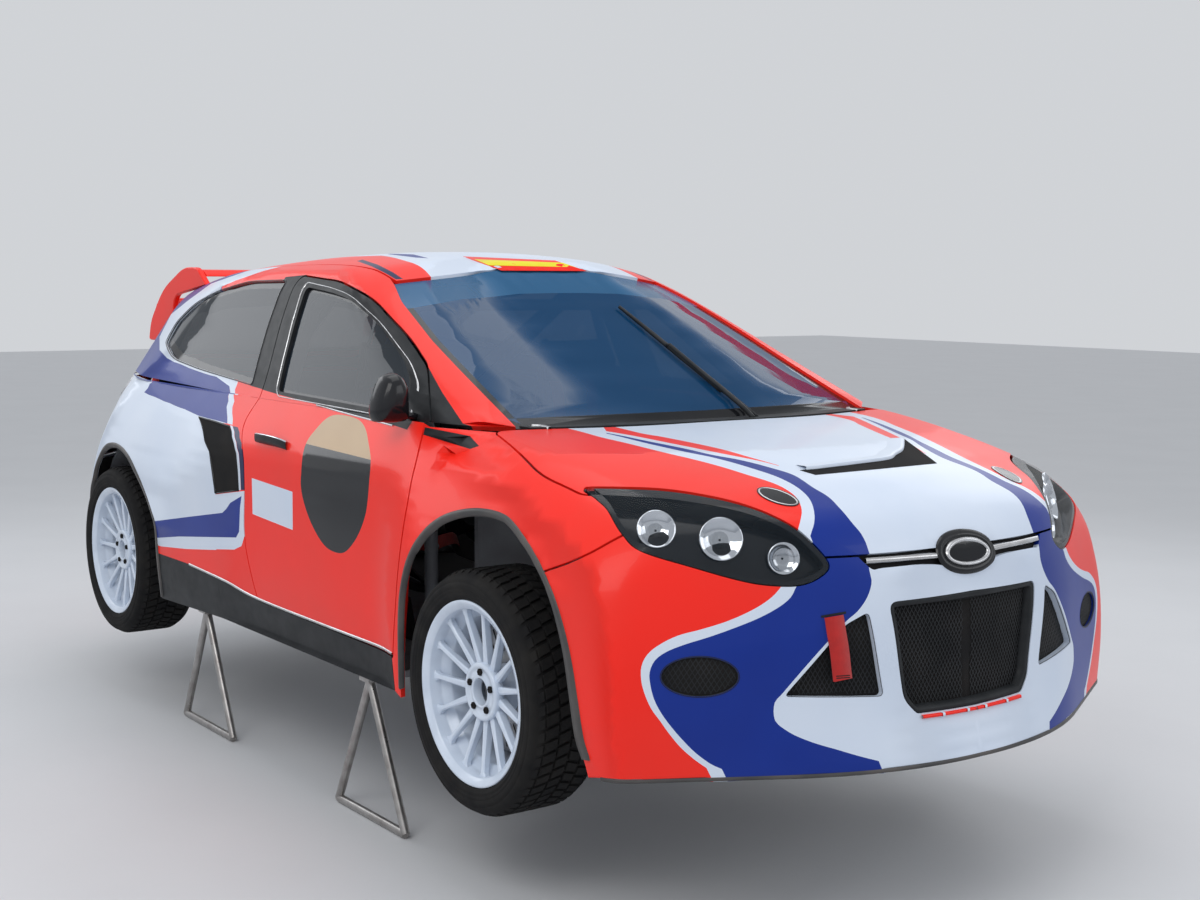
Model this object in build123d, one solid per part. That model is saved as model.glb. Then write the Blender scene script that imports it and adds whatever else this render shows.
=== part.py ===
from build123d import *
from math import atan2, cos, hypot, tan
import os

# Rally car, a steel hatchback with widened arches, standing on four axle stands.
# Millimetres. The front axle is at x = 0 and the car faces +X, +Y is its left, and z = 0 is
# the road under the car before it was lifted. place() moves every piece to the final origin,
# which is the middle of the bounding box, on the floor that the stands' feet touch.
# Paired pieces are modelled on the right, at -Y, and mirrored.

# Driving dimensions
NOSE_X = 936.0            # lip of the front splitter
TAIL_X = -3440.0          # rear bumper
LIFT = 256.0              # from the stands' floor up to z = 0
WHEELBASE = 2648.0
FRONT_HUB_Z = 287.0
REAR_HUB_Z = 299.0
WHEEL_FACE_Y = 927.0      # outer face of the rims
SKIN = 18.0               # thin panels: fenders, bonnet, bumpers, roof
WALL = 62.0               # thick panels: doors, pillars, tailgate
GLASS = 6.0
GLASS_INSET = 8.0         # glass lies this far inside the outer skin
GAP = 7.0                 # between a moving panel and its frame
LINER = 14.0              # outer door skin; behind it the door is narrower by DOOR_STEP
DOOR_STEP = 16.0
STRAP_T = 5.0             # webbing of the tow strap
HANDLE_T = 16.0           # how far the door handle stands out
BELT_Z = 960.0            # where the lower body meets the cabin top
SILL_Z = 190.0            # lower edge of the body sides
FLOOR_Z = 205.0           # underside of the floor pan
FLOOR_T = 20.0

TYRE_R = 325.0
TYRE_W = 232.0
RIM_R = 246.0
RIM_W = 214.0
BEAD_R = 229.0
RIM_T = 8.0
SPOKES = 15
HUB_BORE_R = 36.0
BOLT_PCD = 108.0
BOLT_R = 7.0
BOLTS = 5
DISC_R = 172.0
DISC_T = 28.0
SPINDLE_R = 24.0
RUN_GAP = 1.0             # between a spindle and the bore that turns on it
UPRIGHT_Y = -742.0        # inner face of the right-hand uprights

ARCH_FRONT = (60.0, 330.0, 430.0)      # centre x, centre z and radius of the arch lips
ARCH_REAR = (-2590.0, 290.0, 420.0)
KINGPIN_LOW = (0.0, 758.0, 190.0)      # lower ball joint and top mount of the front strut
KINGPIN_TOP = (0.0, 600.0, 880.0)
TOWER_TOP = 888.0         # upper end of the front strut's rod
STRUT_ROD_R = 15.0
RAIL_Z = (300.0, 400.0)   # lower and upper face of the chassis rails
REAR_FLOOR_Z = 400.0
TUB_AXIS = (-2590.0, 0.0, 290.0)       # centre of the rear wheel tubs
TUB_R = 422.0
TUB_T = 16.0
TAILGATE_TOP_X = -2650.0               # shut line between roof and tailgate
WELD = 1.06                            # tube corners are this much thicker than the tube

CAGE_TUBE_R = 20.0
CAGE_BEND = 60.0
CAGE_HOOP_X = -1560.0     # main hoop, behind the seats
CAGE_TOP_Z = 1331.0       # centre line of the main hoop's top
CAGE_SCREEN_X = -1130.0   # tube over the windscreen
CAGE_SCREEN_Z = 1275.0
CAGE_STAY_X = -2500.0     # feet of the rear stays
SEAT_Y = 370.0            # middle of each seat, left and right of the car's middle
SEAT_HALF_W = 236.0
SEAT_HOLLOW_HALF_W = 184.0
STAND_X = (-690.0, -1915.0)
STAND_Y = 848.0
STAND_SPREAD = 210.0      # feet of a stand, in front of and behind its head
STAND_TUBE_R = 13.0
WING_PLATE_T = 24.0

CENTRE_X = (NOSE_X + TAIL_X) / 2
REAR_AXLE_X = -WHEELBASE


def place(shape):
    return Pos(-CENTRE_X, 0, LIFT) * shape


# Outlines seen from above, one row per height: z; then x, y and cut-corner length of each
# corner of the left half, from the nose backwards.
# Corners: nose, bumper corner, front arch, behind the arch, door front, door rear,
# rear arch front, rear arch back, rear corner, tail.
LOWER_PLAN = [
    (190, (930, 290, 270), (590, 905, 60), (120, 938, 200), (-330, 932, 90), (-520, 868, 90),
     (-1500, 868, 150), (-2250, 936, 250), (-2900, 930, 160), (-3290, 700, 150), (-3395, 350, 300)),
    (330, (898, 290, 270), (585, 925, 60), (120, 942, 200), (-330, 937, 90), (-520, 884, 90),
     (-1500, 886, 150), (-2250, 944, 250), (-2900, 938, 160), (-3330, 720, 150), (-3440, 350, 300)),
    (560, (888, 290, 270), (560, 925, 90), (120, 942, 200), (-330, 935, 90), (-520, 888, 90),
     (-1500, 892, 150), (-2250, 945, 250), (-2880, 938, 160), (-3330, 720, 150), (-3440, 350, 300)),
    (740, (862, 290, 270), (500, 900, 110), (120, 926, 200), (-330, 910, 90), (-520, 880, 90),
     (-1500, 890, 150), (-2250, 925, 250), (-2820, 905, 160), (-3270, 700, 150), (-3410, 350, 300)),
    (880, (830, 290, 270), (420, 850, 120), (120, 870, 200), (-330, 868, 90), (-520, 860, 90),
     (-1500, 868, 150), (-2250, 872, 250), (-2740, 850, 160), (-3220, 670, 150), (-3350, 350, 300)),
    (960, (800, 290, 270), (380, 800, 120), (120, 815, 200), (-330, 812, 90), (-520, 808, 90),
     (-1500, 812, 150), (-2250, 812, 250), (-2700, 792, 160), (-3180, 640, 150), (-3310, 350, 300)),
]
# Corners: windscreen, A-pillar, door front, door rear, C-pillar front, rear corner, tail.
UPPER_PLAN = [
    (960, (-110, 330, 300), (-200, 735, 50), (-520, 808, 90),
     (-1500, 812, 150), (-2700, 792, 160), (-3180, 640, 150), (-3310, 350, 300)),
    (1100, (-400, 330, 300), (-545, 700, 50), (-820, 756, 90),
     (-1560, 764, 150), (-2420, 752, 250), (-3060, 600, 150), (-3190, 350, 300)),
    (1250, (-720, 320, 290), (-885, 645, 50), (-1120, 694, 90),
     (-1640, 704, 150), (-2300, 688, 250), (-2930, 550, 150), (-3060, 340, 290)),
    (1380, (-1000, 300, 270), (-1180, 585, 50), (-1380, 628, 90),
     (-1740, 636, 110), (-2180, 616, 200), (-2830, 490, 140), (-2950, 320, 250)),
    (1470, (-1190, 280, 250), (-1390, 520, 50), (-1560, 560, 60),
     (-1800, 566, 80), (-2120, 545, 140), (-2760, 430, 140), (-2880, 300, 220)),
]
CROWN_Y = 760.0           # where the crowns' second height is taken
# Bonnet and roof crowns: x, height on the centre line and at CROWN_Y.
BONNET_CROWN = [
    (1000, 590, 470), (864, 716, 620), (790, 790, 700), (660, 856, 760),
    (450, 902, 836), (100, 948, 918), (-250, 980, 968), (-700, 1030, 1010),
]
ROOF_CROWN = [
    (0, 1150, 960), (-600, 1330, 1180), (-1000, 1428, 1283), (-1250, 1448, 1335),
    (-1800, 1457, 1350), (-2300, 1428, 1330), (-2700, 1372, 1285), (-3000, 1312, 1230),
    (-3500, 1200, 1100),
]


def offset_corners(corners, inset):
    """Move a half outline's edges inwards by inset, keeping its corners' order."""
    points = [(corners[0][0], -corners[0][1])] + [(x, y) for x, y, _ in corners]
    points.append((corners[-1][0], -corners[-1][1]))
    moved = []
    for i in range(1, len(points) - 1):
        nx = ny = 0.0
        for a, b in ((points[i - 1], points[i]), (points[i], points[i + 1])):
            run = hypot(b[0] - a[0], b[1] - a[1])
            nx += (b[1] - a[1]) / run
            ny -= (b[0] - a[0]) / run
        scale = 2 * inset / (nx * nx + ny * ny)
        moved.append((points[i][0] - nx * scale, points[i][1] - ny * scale, corners[i - 1][2]))
    return moved


def rounded_wire(corners, to_space):
    """Closed wire of lines and tangent arcs; each corner has two places and a cut length."""
    starts = []
    middles = []
    ends = []
    count = len(corners)
    for i, (x, y, cut) in enumerate(corners):
        px, py, _ = corners[i - 1]
        nx, ny, _ = corners[(i + 1) % count]
        before = hypot(px - x, py - y)
        after = hypot(nx - x, ny - y)
        t = min(cut, 0.46 * before, 0.46 * after)
        ux, uy = (px - x) / before, (py - y) / before
        vx, vy = (nx - x) / after, (ny - y) / after
        half = atan2(abs(ux * vy - uy * vx), ux * vx + uy * vy) / 2
        reach = t / cos(half) - t * tan(half)
        length = hypot(ux + vx, uy + vy)
        starts.append(to_space(x + ux * t, y + uy * t))
        ends.append(to_space(x + vx * t, y + vy * t))
        middles.append(to_space(x + (ux + vx) / length * reach, y + (uy + vy) / length * reach))
    edges = []
    for i in range(count):
        if corners[i][2] > 0:
            edges.append(ThreePointArc(starts[i], middles[i], ends[i]))
        edges.append(Line(ends[i], starts[(i + 1) % count]))
    return Wire(edges)


def plan_loft(rows, inset):
    sections = []
    for row in rows:
        half = offset_corners(row[1:], inset)
        corners = half + [(x, -y, cut) for x, y, cut in reversed(half)]
        sections.append(Face(rounded_wire(corners, lambda x, y: (x, y, row[0]))))
    return loft(sections)


def refined(rows):
    """Rows with one more row midway between neighbours, on a smooth curve through them."""
    slopes = []
    for i in range(len(rows)):
        before = rows[max(i - 1, 0)]
        after = rows[min(i + 1, len(rows) - 1)]
        slopes.append([(b - a) / (after[0] - before[0]) for a, b in zip(before[1:], after[1:])])
    result = [rows[0]]
    for a, b, rise_a, rise_b in zip(rows, rows[1:], slopes, slopes[1:]):
        step = b[0] - a[0]
        heights = [(p + q) / 2 + step * (m - n) / 8
                   for p, q, m, n in zip(a[1:], b[1:], rise_a, rise_b)]
        result += [((a[0] + b[0]) / 2, *heights), b]
    return result


def crown_solid(rows, drop):
    """Solid under a crowned surface through the rows' arcs, lowered by drop."""
    half_width = 1100
    sections = []
    for x, centre, side in refined(rows):
        edge_z = side - drop - 0.9 * (half_width - CROWN_Y)
        points = [
            (x, CROWN_Y, side - drop), (x, half_width, edge_z), (x, half_width, 0),
            (x, -half_width, 0), (x, -half_width, edge_z), (x, -CROWN_Y, side - drop),
        ]
        edges = [ThreePointArc(points[-1], (x, 0, centre - drop), points[0])]
        edges += [Line(a, b) for a, b in zip(points, points[1:])]
        sections.append(Face(Wire(edges)))
    return loft(sections, ruled=True)


def lower_hull(inset):
    split_x = -250
    body = plan_loft(LOWER_PLAN, inset)
    front = body & crown_solid(BONNET_CROWN, inset)
    ahead = Pos(1000 + split_x, 0, 500) * Box(2000, 2400, 1400)
    return (body - ahead) + (front & ahead)


def upper_hull(inset):
    return plan_loft(UPPER_PLAN, inset) & crown_solid(ROOF_CROWN, inset)


def side_prism(corners, y_in=300, y_out=1300):
    """Right-hand prism of an x, z outline, from y = -y_in out to -y_out."""
    face = Face(rounded_wire(corners, lambda x, z: (x, -y_in, z)))
    return extrude(face, amount=y_out - y_in, dir=(0, -1, 0))


def plan_prism(corners, z_low, z_high):
    """Prism of an x, y outline between two heights."""
    face = Face(rounded_wire(corners, lambda x, y: (x, y, z_low)))
    return extrude(face, amount=z_high - z_low, dir=(0, 0, 1))


def front_prism(corners, x_back, x_front):
    """Prism of a y, z outline between two places along the car."""
    face = Face(rounded_wire(corners, lambda y, z: (x_back, y, z)))
    return extrude(face, amount=x_front - x_back, dir=(1, 0, 0))


def span(x0, x1, y0, y1, z0, z1):
    return Pos((x0 + x1) / 2, (y0 + y1) / 2, (z0 + z1) / 2) * Box(x1 - x0, y1 - y0, z1 - z0)


def cross_cylinder(x, y, z, radius, length):
    """Cylinder along Y, centred at y."""
    return Pos(x, y, z) * Rot(90, 0, 0) * Cylinder(radius, length)


def rod(a, b, radius):
    """Round bar between two points."""
    axis = Vector(*b) - Vector(*a)
    return Plane(origin=a, z_dir=axis) * Cylinder(
        radius, axis.length, align=(Align.CENTER, Align.CENTER, Align.MIN))


def tube_run(points, radius):
    """Round bar along points, with a slightly thicker ball at each inner corner."""
    run = rod(points[0], points[1], radius)
    for a, b in zip(points[1:], points[2:]):
        run += Pos(*a) * Sphere(WELD * radius)
        run += rod(a, b, radius)
    return run


def bent_tube(points, radius, bend):
    """Round bar along points, swept round bends of one radius."""
    path = FilletPolyline(*points, radius=bend)
    start = Vector(*points[1]) - Vector(*points[0])
    return sweep(Plane(origin=points[0], z_dir=start) * Circle(radius), path=path)


def mirrored(shape):
    return mirror(shape, about=Plane.XZ)


def grow(corners, by):
    """Offset a closed outline outwards, or inwards if by is negative."""
    count = len(corners)
    area = 0.0
    for i in range(count):
        area += corners[i - 1][0] * corners[i][1] - corners[i][0] * corners[i - 1][1]
    turn = 1 if area > 0 else -1
    grown = []
    for i in range(count):
        nx = ny = 0.0
        for a, b in ((corners[i - 1], corners[i]), (corners[i], corners[(i + 1) % count])):
            run = hypot(b[0] - a[0], b[1] - a[1])
            nx += turn * (b[1] - a[1]) / run
            ny -= turn * (b[0] - a[0]) / run
        scale = 2 * by / (nx * nx + ny * ny)
        cut = corners[i][2]
        grown.append((corners[i][0] + nx * scale, corners[i][1] + ny * scale, cut))
    return grown


# Side outlines: x, z and cut-corner length, on the right of the car
DOOR = [
    (-459, 292, 20), (-405, 450, 40), (-366, 690, 60), (-358, 868, 40), (-408, 938, 20),
    (-590, 1106, 40), (-770, 1190, 80), (-1045, 1296, 80), (-1290, 1352, 60), (-1580, 1370, 25),
    (-1520, 1050, 60), (-1535, 900, 80), (-1470, 700, 80), (-1490, 500, 80), (-1405, 300, 25),
]
DOOR_WINDOW = [
    (-560, 975, 15), (-615, 1062, 30), (-700, 1118, 40), (-935, 1222, 60), (-1160, 1296, 60),
    (-1290, 1316, 40), (-1478, 1332, 24), (-1440, 1180, 60), (-1405, 990, 20),
]
QUARTER_WINDOW = [
    (-1620, 1000, 20), (-2111, 1030, 60), (-2400, 1056, 60), (-2680, 1110, 40), (-2660, 1180, 30),
    (-2480, 1258, 60), (-2254, 1308, 60), (-1980, 1346, 60), (-1660, 1352, 20),
]
LAMP = [
    (325, 856, 12), (560, 842, 60), (740, 796, 40), (856, 712, 14), (815, 650, 14),
    (690, 672, 40), (560, 728, 60), (420, 806, 40),
]
BUMPER_EDGE = [(280, 636, 0), (620, 752, 0), (720, 712, 0), (1200, 712, 0), (1200, 50, 0), (280, 50, 0)]
TAIL_LAMP = [
    (-3110, 1000, 20), (-2960, 1000, 20), (-3010, 880, 30), (-3130, 840, 20), (-3400, 840, 20),
    (-3400, 960, 20),
]
SCOOP = [(-1850, 878, 15), (-1569, 862, 15), (-1515, 653, 15), (-1692, 624, 15)]
# Half outlines seen from above, left and right alike: x, y, cut
BONNET = [
    (-55, 330, 250), (-165, 742, 25), (150, 800, 60), (330, 792, 30), (560, 640, 40), (735, 455, 40),
    (842, 395, 20), (900, 300, 0),
]
WINDSCREEN = [
    (-660, 960, 30), (-622, 1180, 60), (-586, 1290, 40), (-545, 1352, 30), (0, 1418, 300),
    (545, 1352, 30), (586, 1290, 40), (622, 1180, 60), (660, 960, 30),
]
ROOF_HALF_Y = 535.0
TAILGATE_HALF_Y = ROOF_HALF_Y - GAP      # flat sides, so that it swings up between the pillars
BUMPER_TOP_Z = 632.0
GATE_LOW_Z = 640.0
WING_HALF_Y = TAILGATE_HALF_Y - 4
TAILGATE = [(0, 1420), (TAILGATE_HALF_Y, 1352), (TAILGATE_HALF_Y, GATE_LOW_Z)]
COWL_HALF_Y = 640.0
COWL_Z = 925.0
WINDSCREEN_TOP_X = -1115.0

LOWER = {inset: lower_hull(inset) for inset in (-STRAP_T, 0, LINER, SKIN, SKIN + 10, 45, WALL)}
UPPER = {inset: upper_hull(inset) for inset in (0, GLASS_INSET, GLASS_INSET + GLASS, SKIN, WALL)}


def lower_panel(region, inner, outer=0):
    return (LOWER[outer] & region) - LOWER[inner]


def upper_panel(region, inner, outer=0):
    return (UPPER[outer] & region) - UPPER[inner]


def glass_panel(region):
    return upper_panel(region, GLASS_INSET + GLASS, GLASS_INSET)


def arch_cutter(arch, grow_by=0.0):
    x, z, radius = arch
    return cross_cylinder(x, -930, z, radius + grow_by, 740)


def symmetric_outline(half):
    return list(half) + [(x, -y, cut) for x, y, cut in reversed(half)]


BONNET_PRISM = plan_prism(symmetric_outline(BONNET), 640, 1100)
BONNET_HOLE = plan_prism(symmetric_outline(grow(BONNET, GAP)), 640, 1100)
DOOR_HOLE = side_prism(grow(DOOR, GAP))
LAMP_PRISM = side_prism(LAMP, 430, 900)


def single(shape, name):
    """Keep the largest solid of a cut."""
    solids = sorted(shape.solids(), key=lambda s: s.volume)
    if len(solids) > 1:
        print(name, "dropped", [round(s.volume) for s in solids[:-1]])
    return solids[-1]


def make_door():
    region = side_prism(DOOR)
    core = side_prism(grow(DOOR, -DOOR_STEP))
    whole = lower_panel(region, LINER) + upper_panel(region, LINER)
    whole += lower_panel(core, WALL, LINER) + upper_panel(core, WALL, LINER)
    return single(whole - side_prism(DOOR_WINDOW), "door")


def make_door_window():
    return single(glass_panel(side_prism(DOOR_WINDOW)), "door_window")


def make_side_frame():
    lower = lower_panel(span(-2990, -470, -1300, -400, SILL_Z, GATE_LOW_Z), WALL)
    lower += lower_panel(span(-3400, -380, -1300, -400, GATE_LOW_Z, BELT_Z), WALL)
    upper = upper_panel(span(-3400, 0, -1300, -ROOF_HALF_Y, BELT_Z, 1480), WALL)
    frame = lower + upper
    frame -= DOOR_HOLE
    frame -= side_prism(QUARTER_WINDOW)
    frame -= side_prism(TAIL_LAMP, 560, 1000)
    frame -= lower_panel(side_prism(SCOOP, 700), 45)
    frame -= arch_cutter(ARCH_REAR)
    frame -= front_prism(WINDSCREEN, WINDSCREEN_TOP_X, 100)
    frame -= tailgate_region(GAP)
    pillar = span(-400, -230, -728, -650, 700, BELT_Z)
    pillar += span(-470, -400, -728, -650, SILL_Z, BELT_Z)
    pillar += span(-540, -400, -850, -650, SILL_Z, 282)
    pillar &= LOWER[SKIN + 10]
    return single(frame + pillar, "side_frame")


def tailgate_region(grow_by):
    half = [(y, z, 0) for y, z in TAILGATE]
    corners = half + [(-y, z, 0) for y, z, _ in reversed(half[1:])]
    corners = grow(corners, grow_by)
    return front_prism(corners, -3600, TAILGATE_TOP_X + grow_by)


def make_quarter_windows():
    right = single(glass_panel(side_prism(QUARTER_WINDOW)), "quarter")
    return [right, mirrored(right)]


def make_roof():
    skin = upper_panel(span(TAILGATE_TOP_X + GAP, -900, -ROOF_HALF_Y, ROOF_HALF_Y, 1000, 1480), SKIN)
    return single(skin - front_prism(WINDSCREEN, WINDSCREEN_TOP_X, 100), "roof")


def make_windscreen():
    pane = glass_panel(front_prism(WINDSCREEN, WINDSCREEN_TOP_X, 100))
    roof = upper_panel(span(-3000, -900, -ROOF_HALF_Y, ROOF_HALF_Y, 1300, 1480), SKIN)
    roof -= front_prism(WINDSCREEN, WINDSCREEN_TOP_X, 100)
    return single(pane - DOOR_HOLE - mirrored(DOOR_HOLE) - roof, "windscreen")


REAR_WINDOW = [(-450, 1240, 40), (0, 1265, 200), (450, 1240, 40), (480, 1040, 40),
               (0, 1020, 200), (-480, 1040, 40)]


def make_tailgate():
    region = tailgate_region(0)
    gate = lower_panel(region, WALL) + upper_panel(region, WALL)
    return single(gate - front_prism(REAR_WINDOW, -3600, -2850), "tailgate")


def make_rear_window():
    return single(glass_panel(front_prism(REAR_WINDOW, -3600, -2850)), "rear_window")


def make_rear_bumper():
    skin = lower_panel(span(-3600, -2990, -1200, 1200, SILL_Z, BUMPER_TOP_Z), SKIN)
    return single(skin - span(-3600, -3300, 380, 480, 0, 372), "rear_bumper")


def make_bonnet():
    """Bonnet skin with a raised hump behind its vent."""
    top = (LOWER[0] & BONNET_PRISM) - crown_solid(BONNET_CROWN, SKIN)
    hump = side_outline_solid([(250, 915), (330, 934), (440, 936), (470, 880), (250, 900)], -190, 190)
    hump -= crown_solid(BONNET_CROWN, SKIN)
    return single(top + hump - span(700, 1200, -600, 600, 500, 712), "bonnet")


def make_fender():
    skin = lower_panel(span(-470, 900, -1300, -300, SILL_Z, BELT_Z), SKIN)
    skin -= BONNET_HOLE
    skin -= DOOR_HOLE
    skin -= side_prism(BUMPER_EDGE)
    skin -= LAMP_PRISM
    skin -= arch_cutter(ARCH_FRONT)
    skin -= span(-520, -380, -900, -300, 640, BELT_Z)
    skin -= span(-400, 0, -COWL_HALF_Y, COWL_HALF_Y, COWL_Z, BELT_Z)
    return single(skin, "fender")


INTAKE = [(-309, 616, 25), (309, 616, 25), (236, 335, 25), (-236, 335, 25)]
SIDE_INTAKE = [(-350, 585, 20), (-440, 570, 30), (-632, 400, 20), (-330, 372, 20)]
SLOT = [(-336, 712, 8), (336, 712, 8), (300, 672, 10), (-300, 672, 10)]


def make_front_bumper():
    skin = lower_panel(span(280, 1000, -1200, 1200, SILL_Z, 706), SKIN)
    edge = side_prism(BUMPER_EDGE, 0, 1300)
    skin &= edge + mirrored(edge)
    for outline in (INTAKE, SIDE_INTAKE, [(-y, z, c) for y, z, c in reversed(SIDE_INTAKE)], SLOT):
        skin -= front_prism(outline, 500, 1000)
    lip = [(NOSE_X, 290, 270), (600, 910, 60), (380, 925, 30)]
    skin += plan_prism(symmetric_outline(lip), SILL_Z - 6, SILL_Z + 8)
    for cutter in (LAMP_PRISM, arch_cutter(ARCH_FRONT)):
        skin -= cutter
        skin -= mirrored(cutter)
    return single(skin, "front_bumper")


def make_intake_panel():
    panels = []
    for outline in (INTAKE, SIDE_INTAKE, [(-y, z, c) for y, z, c in reversed(SIDE_INTAKE)], SLOT):
        panels.append(single(lower_panel(front_prism(outline, 500, 1000), SKIN + 10, LINER), "intake"))
    return panels


def make_headlamps():
    lamp = single(lower_panel(LAMP_PRISM, 45) - BONNET_HOLE, "lamp")
    return [lamp, mirrored(lamp)]


def make_rim(x, z):
    """Right-hand rim with spokes, hub and brake disc; depth is measured in from its face."""
    profile = [
        (0, RIM_R), (0, RIM_R - RIM_T), (8, BEAD_R - RIM_T), (46, BEAD_R - RIM_T),
        (66, 196), (150, 196), (172, BEAD_R - RIM_T), (206, BEAD_R - RIM_T), (RIM_W, RIM_R - RIM_T),
        (RIM_W, RIM_R), (RIM_W - 12, RIM_R), (RIM_W - 14, BEAD_R), (174, BEAD_R), (154, 204),
        (64, 204), (44, BEAD_R), (14, BEAD_R), (12, RIM_R),
    ]
    barrel = revolve(profile_face([(r, -WHEEL_FACE_Y + d) for d, r in profile]), Axis.Y)
    hub_profile = [(34, 78), (62, 78), (62, 66), (118, 66), (118, DISC_R), (118 + DISC_T, DISC_R),
                   (118 + DISC_T, SPINDLE_R + RUN_GAP), (62, SPINDLE_R + RUN_GAP), (62, HUB_BORE_R),
                   (34, HUB_BORE_R)]
    wheel = barrel + revolve(profile_face([(r, -WHEEL_FACE_Y + d) for d, r in hub_profile]), Axis.Y)
    inner = Plane(origin=(60, -WHEEL_FACE_Y + 46, 0), z_dir=(1, 0, 0), x_dir=(0, 1, 0))
    outer = Plane(origin=(226, -WHEEL_FACE_Y + 24, 0), z_dir=(1, 0, 0), x_dir=(0, 1, 0))
    spoke = loft([(inner * Rectangle(28, 22)).face(), (outer * Rectangle(20, 13)).face()])
    for i in range(SPOKES):
        wheel += Rot(0, 360 / SPOKES * i, 0) * spoke
    for i in range(BOLTS):
        bolt = Rot(0, 360 / BOLTS * i, 0) * cross_cylinder(BOLT_PCD / 2, -WHEEL_FACE_Y + 48, 0, BOLT_R, 60)
        wheel -= bolt
    return Pos(x, 0, z) * single(wheel, "rim")


def profile_face(points):
    """Face in the plane z = 0 through the points."""
    return Face(Wire([Line((*a, 0), (*b, 0)) for a, b in zip(points, points[1:] + points[:1])]))


def make_tyre(x, z):
    side = (TYRE_W - RIM_W) / 2
    outer = -WHEEL_FACE_Y - side
    inner = outer + TYRE_W
    profile = [
        (BEAD_R, -WHEEL_FACE_Y + 15), (RIM_R + 1, -WHEEL_FACE_Y + 13), (RIM_R + 1, -WHEEL_FACE_Y),
        (TYRE_R - 50, outer), (TYRE_R - 22, outer + 4), (TYRE_R - 4, outer + 22), (TYRE_R, outer + 40),
        (TYRE_R, inner - 40), (TYRE_R - 4, inner - 22), (TYRE_R - 22, inner - 4), (TYRE_R - 50, inner),
        (RIM_R + 1, inner - side), (RIM_R + 1, inner - side - 13), (BEAD_R, inner - side - 15),
    ]
    return Pos(x, 0, z) * revolve(profile_face(profile), Axis.Y)


def make_knuckle():
    """Front upright on the kingpin line, with the spindle that the wheel turns on."""
    z = FRONT_HUB_Z
    pin_y = -WHEEL_FACE_Y + 66
    upright = span(-38, 38, UPRIGHT_Y - 28, UPRIGHT_Y, 180, 400)
    spindle = cross_cylinder(0, (pin_y + UPRIGHT_Y) / 2, z, SPINDLE_R, UPRIGHT_Y - pin_y)
    arm = span(-24, 24, -760, -664, 376, 420)
    return single(upright + spindle + arm, "knuckle")


def make_front_strut():
    """Strut and spring on the kingpin line; its rod runs up through the tower plate."""
    strut = rod(strut_point(400), strut_point(TOWER_TOP), STRUT_ROD_R)
    strut += rod(strut_point(400), strut_point(640), 26)
    strut += rod(strut_point(636), strut_point(644), 66)
    for i in range(6):
        strut += rod(strut_point(664 + 32 * i), strut_point(676 + 32 * i), 58)
    return single(strut - span(-100, 100, -900, -500, 300, 420), "front_strut")


def strut_point(z):
    """Point on the kingpin line at a height, on the right."""
    share = (z - KINGPIN_LOW[2]) / (KINGPIN_TOP[2] - KINGPIN_LOW[2])
    return (0, -(KINGPIN_LOW[1] + share * (KINGPIN_TOP[1] - KINGPIN_LOW[1])), z)


def make_rear_uprights():
    z = REAR_HUB_Z
    pin_y = -WHEEL_FACE_Y + 66
    upright = span(REAR_AXLE_X - 40, REAR_AXLE_X + 40, UPRIGHT_Y - 28, UPRIGHT_Y, 190, 420)
    upright += cross_cylinder(REAR_AXLE_X, (pin_y + UPRIGHT_Y) / 2, z, SPINDLE_R, UPRIGHT_Y - pin_y)
    upright += span(REAR_AXLE_X - 36, REAR_AXLE_X + 36, UPRIGHT_Y, -620, 376, 400)
    right = single(upright, "rear_upright")
    return [right, mirrored(right)]


def make_rear_struts():
    low = (REAR_AXLE_X, -655, 400)
    seat = (REAR_AXLE_X, -655, 470)
    high = (REAR_AXLE_X, -655, 760)
    strut = (rod(low, high, 20) + rod(seat, high, 38)) & cross_cylinder(*TUB_AXIS, TUB_R, 1800)
    right = single(strut, "rear_strut")
    return [right, mirrored(right)]


def make_subframes():
    front = span(-160, 130, -330, 330, 196, 250)
    arms = tube_run([(40, -320, 222), (0, -716, 202)], 17)
    arms += tube_run([(-150, -320, 222), (-8, -700, 204)], 15)
    arms += span(-100, -40, -400, -300, 226, RAIL_Z[0])
    front += arms + mirrored(arms)
    rear = span(REAR_AXLE_X - 90, REAR_AXLE_X + 90, -330, 330, 226, 290)
    arm = tube_run([(REAR_AXLE_X, -320, 258), (REAR_AXLE_X, UPRIGHT_Y, 240)], 18)
    arm &= span(REAR_AXLE_X - 100, REAR_AXLE_X + 100, UPRIGHT_Y, 0, 200, 420)
    arm += span(REAR_AXLE_X - 60, REAR_AXLE_X + 60, -330, -280, 280, REAR_FLOOR_Z)
    rear += arm + mirrored(arm)
    return [single(front, "front_subframe"), single(rear, "rear_subframe")]


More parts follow.
